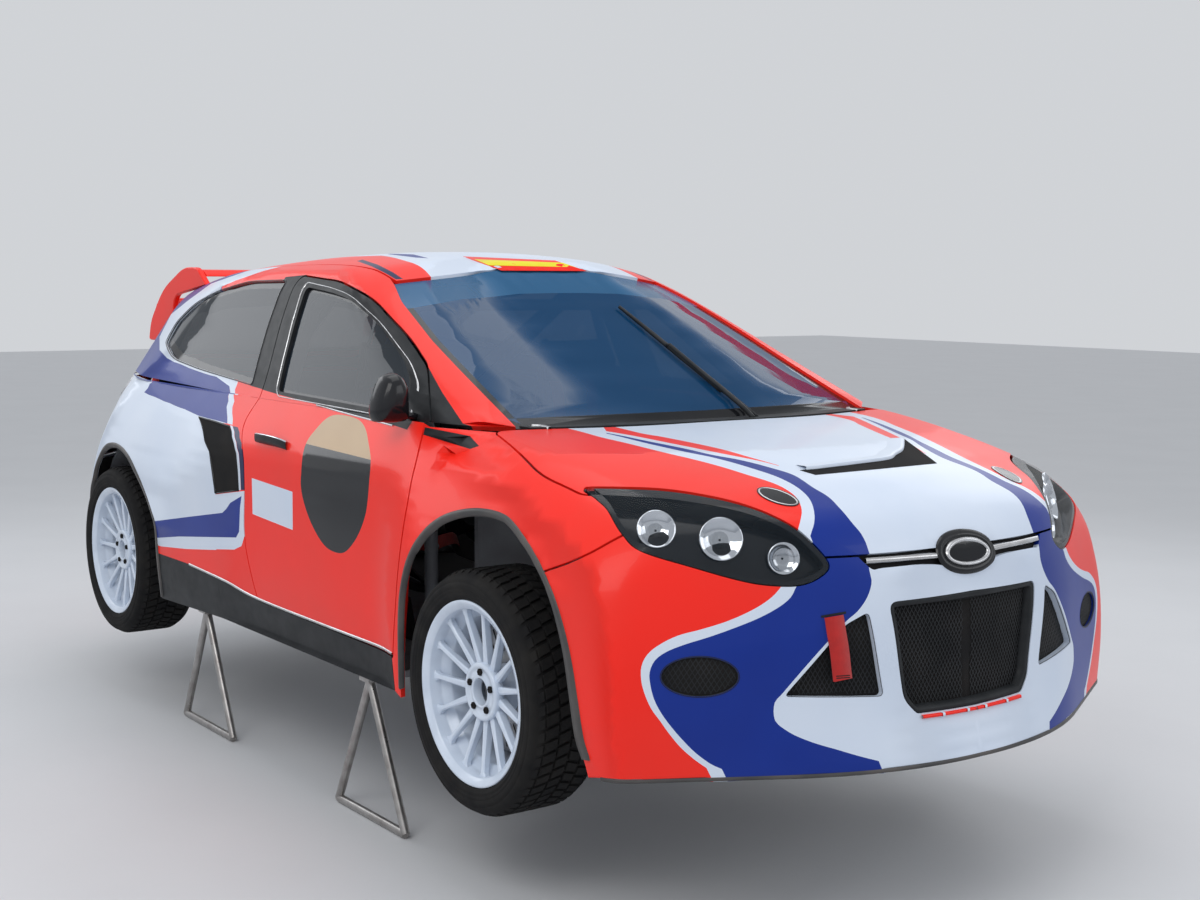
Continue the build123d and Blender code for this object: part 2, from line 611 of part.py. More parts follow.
def make_floor_pan():
    """Floor, tunnel, bulkhead and rear wheel tubs."""
    top = FLOOR_Z + FLOOR_T
    step_x = -2240
    floor = span(step_x, -540, -880, 880, FLOOR_Z, top) & LOWER[WALL]
    floor += span(-560, -400, -650, 650, FLOOR_Z, top)
    floor += span(step_x, -400, -130, 130, FLOOR_Z, 370)
    floor += span(step_x - FLOOR_T, step_x, -560, 560, FLOOR_Z, REAR_FLOOR_Z + FLOOR_T)
    floor += span(-2960, step_x, -560, 560, REAR_FLOOR_Z, REAR_FLOOR_Z + FLOOR_T)
    floor += span(-420, -400, -650, 650, FLOOR_Z, 925)
    floor -= span(step_x - 30, -380, -112, 112, FLOOR_Z - 10, 352)
    floor -= span(step_x - 30, step_x + 120, 50, 260, FLOOR_Z - 10, 352)
    x, _, z = TUB_AXIS
    for side in (-1, 1):
        hollow = cross_cylinder(x, side * 760, z, TUB_R, 400)
        tub = cross_cylinder(x, side * 740, z, TUB_R + TUB_T, 400)
        tub &= span(-3200, -2000, -900, 900, FLOOR_Z, 900) & LOWER[WALL]
        floor = floor + tub - hollow
    floor -= span(REAR_AXLE_X - 60, REAR_AXLE_X + 60, -600, 600, FLOOR_Z, 300)
    return single(floor, "floor_pan")


def make_front_rails():
    """Chassis rails, strut towers and the cross member that carries the radiator."""
    rail = span(-400, 900, -430, -360, *RAIL_Z)
    rail += span(-90, 90, -450, -430, RAIL_Z[0], 884)
    plate = span(-90, 90, -700, -430, 868, 884)
    plate -= rod(strut_point(840), strut_point(920), STRUT_ROD_R + RUN_GAP)
    rail += plate
    cross = span(640, 740, -430, 430, RAIL_Z[0] - 30, RAIL_Z[0])
    rails = (rail + mirrored(rail) + cross) & LOWER[SKIN + 10]
    bolts = span(620, 760, -360, 360, RAIL_Z[0], 900)
    return single(rails - bolts, "front_rails")


def make_roll_cage():
    """Main hoop, two front hoops, rear stays, a screen bar and a diagonal."""
    r = CAGE_TUBE_R
    bend = CAGE_BEND
    hoop_x = CAGE_HOOP_X
    top_z = CAGE_TOP_Z
    floor_z = FLOOR_Z + FLOOR_T
    half = [(hoop_x, 700, floor_z), (hoop_x, 700, 930), (hoop_x, 590, 1262), (hoop_x, 480, top_z)]
    cage = bent_tube([(x, -y, z) for x, y, z in half] + half[::-1], r, bend)
    for side in (-1, 1):
        front = [(-600, side * 690, floor_z), (-600, side * 690, 900),
                 (CAGE_SCREEN_X, side * 530, CAGE_SCREEN_Z), (hoop_x, side * 530, 1305)]
        stay = [(hoop_x, side * 500, top_z - 15), (CAGE_STAY_X, side * 480, 760),
                (CAGE_STAY_X, side * 480, REAR_FLOOR_Z + FLOOR_T)]
        cage += bent_tube(front, r, bend)
        cage += bent_tube(stay, r, bend)
    cage += rod((CAGE_SCREEN_X, -530, CAGE_SCREEN_Z), (CAGE_SCREEN_X, 530, CAGE_SCREEN_Z), r - 1)
    cage += rod((hoop_x, -690, 480), (hoop_x, 480, top_z - 5), r - 1)
    return single(cage, "roll_cage")


def make_seats():
    """Two bucket seats: shell with side wings, hollow for the sitter."""
    solids = []
    for y in (-SEAT_Y, SEAT_Y):
        back = side_outline_solid([(-1380, 225), (-1440, 300), (-1490, 900), (-1505, 1140),
                                   (-1420, 1150), (-1370, 860), (-1290, 420), (-840, 400),
                                   (-820, 300), (-900, 225)], y - SEAT_HALF_W, y + SEAT_HALF_W)
        hollow = side_outline_solid([(-1330, 400), (-1420, 900), (-1460, 1200), (-1030, 1200),
                                     (-630, 600), (-630, 390)],
                                    y - SEAT_HOLLOW_HALF_W, y + SEAT_HOLLOW_HALF_W)
        solids.append(single(back - hollow, "seat"))
    return solids


def side_outline_solid(points, y0, y1):
    """Straight-sided outline (x, z) seen from the side, drawn out from y0 to y1."""
    ends = zip(points, points[1:] + points[:1])
    lines = [Line((a[0], y0, a[1]), (b[0], y0, b[1])) for a, b in ends]
    return extrude(Face(Wire(lines)), amount=y1 - y0, dir=(0, 1, 0))


def make_stands():
    stands = []
    for x in STAND_X:
        for side in (-1, 1):
            stands.append(single(make_stand(x, side), "stand"))
    return stands


def make_stand(x, side):
    y = side * STAND_Y
    r = STAND_TUBE_R
    foot_z = -LIFT + r
    top = (x, y, SILL_Z - 18)
    back_foot = (x - STAND_SPREAD, y, foot_z)
    front_foot = (x + STAND_SPREAD, y, foot_z)
    stand = tube_run([back_foot, top, front_foot], r)
    stand += rod(back_foot, front_foot, r)
    stand += span(x - 30, x + 30, y - 22, y + 22, SILL_Z - 20, SILL_Z)
    return stand


def make_rear_wing():
    """Two curved end plates and two planes, standing on the tailgate."""
    plate = [(-3290, 1090, 20), (-3030, 1090, 20), (-3000, 1284, 60), (-2655, 1328, 20),
             (-2754, 1399, 30), (-2893, 1399, 60), (-3121, 1310, 60), (-3262, 1175, 40)]
    end = side_prism(plate, WING_HALF_Y - WING_PLATE_T, WING_HALF_Y)
    upper_plane = [(-2700, 1362), (-2760, 1392), (-2940, 1378), (-2930, 1366)]
    lower_plane = [(-3030, 1250), (-3060, 1272), (-3250, 1246), (-3240, 1232)]
    upper = side_outline_solid(upper_plane, -WING_HALF_Y, WING_HALF_Y)
    lower = side_outline_solid(lower_plane, -WING_HALF_Y, WING_HALF_Y)
    wing = end + mirrored(end) + upper + lower
    return single(wing - UPPER[0] - LOWER[0], "rear_wing")


def make_mirror():
    """Small upright mirror on a foot at the door's front corner."""
    shell = loft([
        Face(rounded_wire([(-823, 958, 22), (-926, 962, 30), (-922, 1054, 40), (-850, 1096, 30),
                           (-821, 1064, 30)], lambda y, z: (x, y, z))) for x in (-542, -466)])
    foot = span(-530, -480, -840, -775, 962, 984)
    return single(shell + foot - UPPER[0], "mirror")


def make_wiper():
    """One upright wiper at the middle of the windscreen: spindle, arm and blade."""
    y = 118
    slope = 2.11
    lift = (9, 19)

    def on_glass(z, extra=0.0):
        return (-110 - (z - BELT_Z) * slope + lift[0] * (1 + extra), y, z + lift[1] * (1 + extra))

    wiper = tube_run([(-78, y, BELT_Z), on_glass(985, 0.6), on_glass(1150, 0.6)], 7)
    wiper += rod(on_glass(1020), on_glass(1275), 8)
    return single(wiper - span(-300, 0, 0, 300, COWL_Z, BELT_Z), "wiper")


def make_cowl():
    plate = LOWER[0] & span(-400, 0, -COWL_HALF_Y, COWL_HALF_Y, COWL_Z, BELT_Z)
    return single(plate - BONNET_HOLE, "cowl")


def make_handle():
    """Door handle: a slim raised bar on the door skin."""
    outline = [(-1425, 826, 14), (-1427, 856, 14), (-1166, 850, 14), (-1160, 820, 14)]
    bar = side_prism(outline, 860, 884 + HANDLE_T) - LOWER[0]
    return single(bar, "handle")


def make_tow_strap():
    """Loop of webbing hanging over the bumper's left intake, seen from the front right."""
    outline = [(-507, 590, 10), (-436, 590, 10), (-405, 433, 10), (-470, 433, 10)]
    return single(lower_panel(front_prism(outline, 500, 1000), 0, -STRAP_T), "tow_strap")


def make_dashboard():
    outline = [(-420, 640, 0), (-420, 905, 0), (-600, 900, 40), (-740, 850, 50), (-700, 760, 40),
               (-560, 640, 30)]
    face = Face(rounded_wire(outline, lambda x, z: (x, -600, z)))
    body = extrude(face, amount=1200, dir=(0, 1, 0))
    return single(body - rod(COLUMN_TOP, COLUMN_END, COLUMN_R + 2), "dashboard")


WHEEL_HUB = (-900, 370, 800)
COLUMN_TOP = (-800, 370, 772.5)
COLUMN_END = (-600, 370, 717.5)
COLUMN_TIP = (-580, 370, 712)
COLUMN_R = 17


def make_steering_wheel():
    axis = Vector(*WHEEL_HUB) - Vector(*COLUMN_END)
    plane = Plane(origin=WHEEL_HUB, z_dir=axis, x_dir=(0, 1, 0))
    wheel = plane * Torus(165, 15)
    for angle in (90, 210, 330):
        wheel += plane * Rot(0, 0, angle) * Pos(82, 0, 0) * Box(164, 26, 8)
    wheel += plane * Cylinder(38, 24)
    wheel += rod(WHEEL_HUB, COLUMN_END, COLUMN_R)
    return single(wheel - rod(COLUMN_END, COLUMN_TIP, COLUMN_R + 4), "steering_wheel")


def make_engine():
    """Engine and gearbox block on two mounts that rest on the rails."""
    block = span(-200, 420, -330, 330, 300, 760)
    return block + span(-20, 100, -360, 360, 330, 380)


def make_radiator():
    return span(660, 720, -340, 340, RAIL_Z[0], 640)


def make_sump_guard():
    return span(130, 700, -330, 330, SILL_Z + 8, SILL_Z + 16)


def make_exhaust():
    """Pipe in the tunnel, over the rear cross member and out through the bumper's notch."""
    pipe = bent_tube([(-203, 60, 290), (-2150, 60, 290), (-2330, 180, 330), (-2420, 430, 340),
                      (-3425, 430, 318)], 30, 70)
    for x in (-800, -1800):
        pipe += rod((x, 60, 290), (x, 60, 352), 8)
    return single(pipe, "exhaust")


def make_tail_lamps():
    lamp = lower_panel(side_prism(TAIL_LAMP, 560, 1000), 45) - tailgate_region(GAP)
    lamp = single(lamp, "tail_lamp")
    return [lamp, mirrored(lamp)]


SINGLES = [
    ("roof", make_roof), ("bonnet", make_bonnet), ("front_bumper", make_front_bumper),
    ("rear_bumper", make_rear_bumper), ("tailgate", make_tailgate), ("rear_wing", make_rear_wing),
    ("cowl", make_cowl), ("windscreen", make_windscreen), ("rear_window", make_rear_window),
    ("quarter_windows", make_quarter_windows), ("headlamps", make_headlamps),
    ("tail_lamps", make_tail_lamps), ("intake_panels", make_intake_panel), ("wiper", make_wiper),
    ("floor_pan", make_floor_pan), ("roll_cage", make_roll_cage), ("seats", make_seats),
    ("dashboard", make_dashboard), ("steering_wheel", make_steering_wheel), ("engine", make_engine),
    ("radiator", make_radiator), ("sump_guard", make_sump_guard), ("exhaust", make_exhaust),
    ("subframes", make_subframes), ("front_rails", make_front_rails),
    ("mirror_right", make_mirror), ("tow_strap", make_tow_strap), ("rear_uprights", make_rear_uprights),
    ("rear_struts", make_rear_struts), ("axle_stands", make_stands),
]
PAIRS = [
    ("side_frame", make_side_frame), ("front_fender", make_fender), ("door", make_door),
    ("door_window", make_door_window), ("door_handle", make_handle), ("front_knuckle", make_knuckle),
    ("front_strut", make_front_strut),
    ("front_rim", lambda: make_rim(0, FRONT_HUB_Z)), ("front_tyre", lambda: make_tyre(0, FRONT_HUB_Z)),
    ("rear_rim", lambda: make_rim(REAR_AXLE_X, REAR_HUB_Z)),
    ("rear_tyre", lambda: make_tyre(REAR_AXLE_X, REAR_HUB_Z)),
]
pieces = {name: maker() for name, maker in SINGLES}
for name, maker in PAIRS:
    right = maker()
    pieces[name + "_right"] = right
    pieces[name + "_left"] = mirrored(right)

os.makedirs("parts", exist_ok=True)
for name, shape in pieces.items():
    if isinstance(shape, list):
        shape = Compound(shape)
    export_step(place(shape), f"parts/{name}.step")
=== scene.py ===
import math

import bpy
import numpy as np
from mathutils import Matrix, Vector
from mathutils.geometry import delaunay_2d_cdt


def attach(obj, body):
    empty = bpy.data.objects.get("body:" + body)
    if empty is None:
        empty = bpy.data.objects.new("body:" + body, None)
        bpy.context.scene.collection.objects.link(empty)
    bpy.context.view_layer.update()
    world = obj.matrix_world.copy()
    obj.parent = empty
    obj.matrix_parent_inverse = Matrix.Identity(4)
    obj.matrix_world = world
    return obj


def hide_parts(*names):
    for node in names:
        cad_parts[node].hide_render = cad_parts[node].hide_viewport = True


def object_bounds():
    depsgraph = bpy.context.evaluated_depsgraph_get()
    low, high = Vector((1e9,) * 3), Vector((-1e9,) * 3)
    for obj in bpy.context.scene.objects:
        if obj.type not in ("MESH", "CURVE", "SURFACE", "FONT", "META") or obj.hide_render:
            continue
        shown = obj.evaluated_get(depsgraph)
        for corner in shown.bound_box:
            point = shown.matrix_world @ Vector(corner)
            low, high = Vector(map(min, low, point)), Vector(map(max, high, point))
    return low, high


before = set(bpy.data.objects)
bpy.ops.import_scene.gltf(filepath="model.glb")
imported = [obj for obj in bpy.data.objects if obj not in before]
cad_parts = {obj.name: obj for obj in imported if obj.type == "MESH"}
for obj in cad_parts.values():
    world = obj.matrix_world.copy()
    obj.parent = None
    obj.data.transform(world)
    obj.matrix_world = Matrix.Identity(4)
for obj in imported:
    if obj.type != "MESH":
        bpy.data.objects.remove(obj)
CAD_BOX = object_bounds()

# The form is worked out in millimetres in the car's own frame: the front axle is at x = 0, the
# car faces +X, +Y is its left and z = 0 is the road. to_frame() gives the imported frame's metres.
SHIFT = np.array((1.252, 0.0, 0.256))

# Same outlines by height and same crowns as the solids have
LOWER_PLAN = [
    (190, (930, 290, 270), (590, 905, 60), (120, 938, 200), (-330, 932, 90), (-520, 868, 90),
     (-1500, 868, 150), (-2250, 936, 250), (-2900, 930, 160), (-3290, 700, 150), (-3395, 350, 300)),
    (330, (898, 290, 270), (585, 925, 60), (120, 942, 200), (-330, 937, 90), (-520, 884, 90),
     (-1500, 886, 150), (-2250, 944, 250), (-2900, 938, 160), (-3330, 720, 150), (-3440, 350, 300)),
    (560, (888, 290, 270), (560, 925, 90), (120, 942, 200), (-330, 935, 90), (-520, 888, 90),
     (-1500, 892, 150), (-2250, 945, 250), (-2880, 938, 160), (-3330, 720, 150), (-3440, 350, 300)),
    (740, (862, 290, 270), (500, 900, 110), (120, 926, 200), (-330, 910, 90), (-520, 880, 90),
     (-1500, 890, 150), (-2250, 925, 250), (-2820, 905, 160), (-3270, 700, 150), (-3410, 350, 300)),
    (880, (830, 290, 270), (420, 850, 120), (120, 870, 200), (-330, 868, 90), (-520, 860, 90),
     (-1500, 868, 150), (-2250, 872, 250), (-2740, 850, 160), (-3220, 670, 150), (-3350, 350, 300)),
    (960, (800, 290, 270), (380, 800, 120), (120, 815, 200), (-330, 812, 90), (-520, 808, 90),
     (-1500, 812, 150), (-2250, 812, 250), (-2700, 792, 160), (-3180, 640, 150), (-3310, 350, 300)),
]
UPPER_PLAN = [
    (960, (-110, 330, 300), (-200, 735, 50), (-520, 808, 90),
     (-1500, 812, 150), (-2700, 792, 160), (-3180, 640, 150), (-3310, 350, 300)),
    (1100, (-400, 330, 300), (-545, 700, 50), (-820, 756, 90),
     (-1560, 764, 150), (-2420, 752, 250), (-3060, 600, 150), (-3190, 350, 300)),
    (1250, (-720, 320, 290), (-885, 645, 50), (-1120, 694, 90),
     (-1640, 704, 150), (-2300, 688, 250), (-2930, 550, 150), (-3060, 340, 290)),
    (1380, (-1000, 300, 270), (-1180, 585, 50), (-1380, 628, 90),
     (-1740, 636, 110), (-2180, 616, 200), (-2830, 490, 140), (-2950, 320, 250)),
    (1470, (-1190, 280, 250), (-1390, 520, 50), (-1560, 560, 60),
     (-1800, 566, 80), (-2120, 545, 140), (-2760, 430, 140), (-2880, 300, 220)),
]
CROWN_Y = 760.0           # half width at which the crowns' side heights hold
SOFT = 70.0               # reach of the rounding between sides and crown
SECTION = 45              # points round each corner of an outline
GRID = 10.0               # spacing of the look-up tables, which start at x = GRID_X
GRID_X = -3500.0
CROWN_PULL = 0.95         # share of the height over a crown that counts as distance
DEEPEST = 420.0           # most that the rounding moves a point of an outline inwards
LOWEST = 330.0            # most that it moves a point of a crown downwards
HALVINGS = 20             # steps of each search for a point on the form
BONNET_CROWN = [
    (1000, 590, 470), (864, 716, 620), (790, 790, 700), (660, 856, 760),
    (450, 902, 836), (100, 948, 918), (-250, 980, 968), (-700, 1030, 1010),
]
ROOF_CROWN = [
    (0, 1150, 960), (-600, 1330, 1180), (-1000, 1428, 1283), (-1250, 1448, 1335),
    (-1800, 1457, 1350), (-2300, 1428, 1330), (-2700, 1372, 1285), (-3000, 1312, 1230),
    (-3500, 1200, 1100),
]
BELT_Z = 960.0
SILL_Z = 190.0
SKIN_LOW = SILL_Z + 0.5   # lower edge of the skins

# The camera, solved from the photograph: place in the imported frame, turn, tilt, roll and lens
CAM_POS = np.array((4.8841, -3.143, 1.6288))
CAM_AZ, CAM_EL, CAM_ROLL = (math.radians(a) for a in (54.05, 5.966, 0.411))
CAM_FOCAL = 1658.46       # pixels, on the photograph's 1200 x 900
PHOTO = (1200, 900)


def hermite(xs, ys, x):
    """Smooth interpolation of rows ys over ascending xs, clamped at the ends."""
    xs = np.asarray(xs, float)
    ys = np.asarray(ys, float)
    step = np.diff(xs)
    slope = np.diff(ys, axis=0) / step.reshape((-1,) + (1,) * (ys.ndim - 1))
    tangent = np.empty_like(ys)
    tangent[0] = slope[0]
    tangent[-1] = slope[-1]
    for i in range(1, len(xs) - 1):
        tangent[i] = (slope[i - 1] * step[i] + slope[i] * step[i - 1]) / (step[i] + step[i - 1])
    x = np.clip(np.asarray(x, float), xs[0], xs[-1])
    i = np.clip(np.searchsorted(xs, x) - 1, 0, len(xs) - 2)
    h = step[i]
    t = (x - xs[i]) / h
    grow = (...,) + (None,) * (ys.ndim - 1)
    h, t = h[grow], t[grow]
    return ((2 * t**3 - 3 * t**2 + 1) * ys[i] + (t**3 - 2 * t**2 + t) * h * tangent[i]
            + (3 * t**2 - 2 * t**3) * ys[i + 1] + (t**3 - t**2) * h * tangent[i + 1])


def unit(v):
    """Rows of v brought to length one."""
    return v / np.maximum(np.linalg.norm(v, axis=1, keepdims=True), 1e-9)


def smooth_max(a, b, soft):
    """The larger of a and b, rounded where they are closer than soft."""
    near = np.maximum(soft - np.abs(a - b), 0.0)
    return np.maximum(a, b) + near * near / (4 * soft)


def corner_samples(row):
    """Points along one half outline, from the nose's middle to the tail's."""
    half = [np.array(c, float) for c in row[1:]]
    first = half[0] * (1, -1, 1)
    last = half[-1] * (1, -1, 1)
    points = [(half[0][0], 0.0)]
    for before, here, after in zip([first] + half, half, half[1:] + [last]):
        p, c, q = before[:2], here[:2], after[:2]
        to_p = np.linalg.norm(p - c)
        to_q = np.linalg.norm(q - c)
        cut = min(here[2], 0.46 * to_p, 0.46 * to_q)
        start = c + (p - c) * cut / to_p
        end = c + (q - c) * cut / to_q
        for w in np.linspace(0, 1, SECTION):
            points.append(tuple((1 - w)**2 * start + 2 * w * (1 - w) * c + w * w * end))
    points.append((half[-1][0], 0.0))
    return np.array(points)


def lookup(table, i, j):
    """Value of a grid between its points."""
    i = np.clip(i, 0, table.shape[0] - 1.001)
    j = np.clip(j, 0, table.shape[1] - 1.001)
    a, b = i.astype(int), j.astype(int)
    u, v = i - a, j - b
    return ((1 - u) * (1 - v) * table[a, b] + u * (1 - v) * table[a + 1, b]
            + (1 - u) * v * table[a, b + 1] + u * v * table[a + 1, b + 1])


class Hull:
    """Half of the outer form: outlines by height, under a crown, with softened shoulders.

    A place on it is (s, z): s runs round the outline from the nose to the tail.
    """

    def __init__(self, rows, crown_rows, crown_from, soft, cap=1e4):
        self.cap = cap
        self.z = np.array([r[0] for r in rows], float)
        self.p = np.stack([corner_samples(r) for r in rows])
        middle = self.p[len(rows) // 2]
        run = np.linalg.norm(np.diff(middle, axis=0), axis=1)
        self.s = np.concatenate([[0], np.cumsum(run)])
        crown = np.array(sorted(crown_rows), float)
        self.crown_x = crown[:, 0]
        self.crown_z = crown[:, 1:]
        self.crown_from = crown_from
        self.soft = soft
        self.build_tables()

    def build_tables(self):
        """Tables of the side, front and rear over height, each with the cosine of its slope."""
        zg = np.arange(self.z[0], self.z[-1] + 1, GRID)
        xg = np.arange(GRID_X, 1000.0, GRID)
        yg = np.arange(0.0, 1000.0, GRID)
        self.sections = hermite(self.z, self.p, zg)
        side, front, rear = [], [], []
        for line in self.sections:
            x, y = line[:, 0], line[:, 1]
            half = len(y) // 2
            first = np.argmax(y >= 0.985 * y[:half].max())
            last = len(y) - 1 - np.argmax(y[::-1] >= 0.985 * y[half:].max())
            side.append(np.interp(xg, x[::-1], y[::-1], left=-300, right=-300))
            front.append(np.interp(yg, y[:first], x[:first], right=-4000))
            rear.append(np.interp(yg, y[:last:-1], x[:last:-1], right=4000))
        self.side_y, self.front_x, self.rear_x = (np.array(a) for a in (side, front, rear))
        self.side_c, self.front_c, self.rear_c = (
            1 / np.hypot(1, np.clip(np.gradient(a, GRID, axis=1), -9, 9))
            for a in (self.side_y, self.front_x, self.rear_x))

    def row(self, z):
        """Row of the tables for a height."""
        return (z - self.z[0]) / GRID

    def crown(self, x, y):
        """Height of the crown, at most the cap."""
        rows = hermite(self.crown_x, self.crown_z, x)
        centre, side = rows[..., 0], rows[..., 1]
        drop = np.maximum(centre - side, 1.0)
        radius = (CROWN_Y**2 + drop**2) / (2 * drop)
        y = np.abs(y)
        inner = np.minimum(y, CROWN_Y)
        height = centre - radius + np.sqrt(radius**2 - inner**2)
        height = height - 0.9 * (np.logaddexp(0, (y - CROWN_Y) / 22.0) * 22.0)
        return -smooth_max(-height, -np.full_like(height, self.cap), 16.0)

    def depth(self, x, y, z):
        """Less than nothing inside the outlines, about the distance near them."""
        y = np.abs(y)
        i = self.row(z)
        jx = (x - GRID_X) / GRID
        jy = y / GRID
        a = (y - lookup(self.side_y, i, jx)) * lookup(self.side_c, i, jx)
        b = (x - lookup(self.front_x, i, jy)) * lookup(self.front_c, i, jy)
        c = (lookup(self.rear_x, i, jy) - x) * lookup(self.rear_c, i, jy)
        return np.maximum(a, np.maximum(b, c))

    def over(self, x, y, z):
        """Height over the crown, where there is one."""
        value = CROWN_PULL * (z - self.crown(x, y))
        return np.where(x > self.crown_from, value, -1e3)

    def field(self, x, y, z):
        """Less than nothing inside this half of the form, between its lowest and highest outline."""
        value = smooth_max(self.depth(x, y, z), self.over(x, y, z), self.soft)
        outside = (z < self.z[0]) | (z > self.z[-1])
        return np.where(outside, 1e3, value)

    def at(self, s, z):
        """Place on the outline in plan."""
        s = np.clip(s, 0, self.s[-1])
        k = np.clip(np.searchsorted(self.s, s) - 1, 0, len(self.s) - 2)
        w = ((s - self.s[k]) / (self.s[k + 1] - self.s[k]))[:, None]
        i = np.clip(self.row(z), 0, len(self.sections) - 1.001)
        a = i.astype(int)
        u = (i - a)[:, None]
        low = (1 - w) * self.sections[a, k] + w * self.sections[a, k + 1]
        high = (1 - w) * self.sections[a + 1, k] + w * self.sections[a + 1, k + 1]
        return (1 - u) * low + u * high

    def outward(self, s, z):
        """Direction out of the outline in plan."""
        t = self.at(s + 10, z) - self.at(s - 10, z)
        return unit(np.stack([t[:, 1], -t[:, 0]], axis=1))

    def lift(self, sz):
        """Points on the softened form for places (s, z)."""
        s, z = sz[:, 0], sz[:, 1]
        p = self.at(s, z)
        n = self.outward(s, z)
        low = np.zeros(len(s))
        high = np.full(len(s), DEEPEST)
        for _ in range(HALVINGS):
            mid = (low + high) / 2
            q = p - n * mid[:, None]
            out = smooth_max(-mid, self.over(q[:, 0], q[:, 1], z), self.soft) > 0
            low = np.where(out, mid, low)
            high = np.where(out, high, mid)
        q = p - n * low[:, None]
        return np.column_stack([q, z])

    def drop(self, xy):
        """Points on top of the softened form for places (x, y)."""
        x, y = xy[:, 0], xy[:, 1]
        high = self.crown(x, y) + 5
        low = np.maximum(high - LOWEST, self.z[0])
        for _ in range(HALVINGS):
            mid = (low + high) / 2
            over = CROWN_PULL * (mid - self.crown(x, y))
            out = smooth_max(self.depth(x, y, mid), over, self.soft) > 0
            high = np.where(out, mid, high)
            low = np.where(out, low, mid)
        return np.column_stack([x, y, low])

    def place(self, p):
        """The (s, z) of points on the form."""
        x, y, z = p[:, 0], np.abs(p[:, 1]), p[:, 2]
        lines = hermite(self.z, self.p, z)
        gap = np.hypot(lines[..., 0] - x[:, None], lines[..., 1] - y[:, None])
        k = np.argmin(gap, axis=1)
        rows = np.arange(len(x))
        best = np.full(len(x), 1e9)
        s = self.s[k].copy()
        for a, b in ((np.maximum(k - 1, 0), k), (k, np.minimum(k + 1, len(self.s) - 1))):
            pa, pb = lines[rows, a], lines[rows, b]
            d = pb - pa
            size = np.maximum((d * d).sum(1), 1e-9)
            t = np.clip(((x - pa[:, 0]) * d[:, 0] + (y - pa[:, 1]) * d[:, 1]) / size, 0, 1)
            q = pa + d * t[:, None]
            e = np.hypot(q[:, 0] - x, q[:, 1] - y)
            better = e < best
            best = np.where(better, e, best)
            s = np.where(better, self.s[a] + (self.s[b] - self.s[a]) * t, s)
        return np.column_stack([s, z])


LOWER = Hull(LOWER_PLAN, BONNET_CROWN, -250.0, SOFT, BELT_Z)
UPPER = Hull(UPPER_PLAN, ROOF_CROWN, -1e9, SOFT)


def form(x, y, z):
    """Field of the whole body: below nothing inside it."""
    return np.minimum(LOWER.field(x, y, z), UPPER.field(x, y, z))


def camera_axes():
    """Directions to the camera's right, up and back, away from what it looks at."""
    back = np.array((math.sin(CAM_AZ) * math.cos(CAM_EL), -math.cos(CAM_AZ) * math.cos(CAM_EL),
                     math.sin(CAM_EL)))
    right = np.array((math.cos(CAM_AZ), math.sin(CAM_AZ), 0.0))
    up = np.cross(back, right)
    turned = right * math.cos(CAM_ROLL) + up * math.sin(CAM_ROLL)
    return turned, np.cross(back, turned), back


def seen(points):
    """Places on the body where the photograph shows these pixels."""
    right, up, back = camera_axes()
    origin = (CAM_POS - SHIFT) * 1000
    px = np.array(points, float)
    ray = (-back + right * ((px[:, :1] - PHOTO[0] / 2) / CAM_FOCAL)
           - up * ((px[:, 1:] - PHOTO[1] / 2) / CAM_FOCAL))
    t = np.arange(2400.0, 9000.0, 12.0)
    p = origin + ray[:, None, :] * t[None, :, None]
    solid = form(p[..., 0], p[..., 1], p[..., 2]) < 0
    hit = solid.any(1)
    first = np.argmax(solid, axis=1)
    low = t[np.maximum(first - 1, 0)]
    high = t[first]
    for _ in range(14):
        mid = (low + high) / 2
        q = origin + ray * mid[:, None]
        solid = form(q[:, 0], q[:, 1], q[:, 2]) < 0
        high = np.where(solid, mid, high)
        low = np.where(solid, low, mid)
    q = origin + ray * high[:, None]
    return q[hit]


def curve(points, closed=False, step=12.0):
    """Smooth line through points, resampled about every step."""
    p = np.array(points, float)
    if closed:
        p = np.vstack([p[-1:], p, p[:2]])
    else:
        p = np.vstack([2 * p[:1] - p[1:2], p, 2 * p[-1:] - p[-2:-1]])
    out = []
    for a, b, c, d in zip(p, p[1:], p[2:], p[3:]):
        n = max(2, int(np.linalg.norm(c - b) / step) + 1)
        t = np.linspace(0, 1, n, endpoint=False)[:, None]
        out.append(0.5 * (2 * b + (c - a) * t + (2 * a - 5 * b + 4 * c - d) * t**2
                          + (3 * b - a - 3 * c + d) * t**3))
    if not closed:
        out.append(p[-2:-1])
    return np.vstack(out)


def rounded(corners, step=12.0):
    """Closed outline of corners (a, b, cut), with rounded corners, resampled."""
    c = np.array(corners, float)
    n = len(c)
    out = []
    ends = []
    for i in range(n):
        p, q, r = c[i - 1, :2], c[i, :2], c[(i + 1) % n, :2]
        lp, lr = np.linalg.norm(p - q), np.linalg.norm(r - q)
        cut = min(c[i, 2], 0.46 * lp, 0.46 * lr)
        start, end = q + (p - q) * cut / lp, q + (r - q) * cut / lr
        if cut > 0:
            w = np.linspace(0, 1, max(3, int(cut / 5) + 2))[:, None]
            ends.append((1 - w)**2 * start + 2 * w * (1 - w) * q + w * w * end)
        else:
            ends.append(q[None, :])
    for i in range(n):
        out.append(ends[i])
        a, b = ends[i][-1], ends[(i + 1) % n][0]
        m = int(np.linalg.norm(b - a) / step)
        if m > 1:
            t = np.linspace(0, 1, m + 1)[1:-1, None]
            out.append(a + (b - a) * t)
    return np.vstack(out)


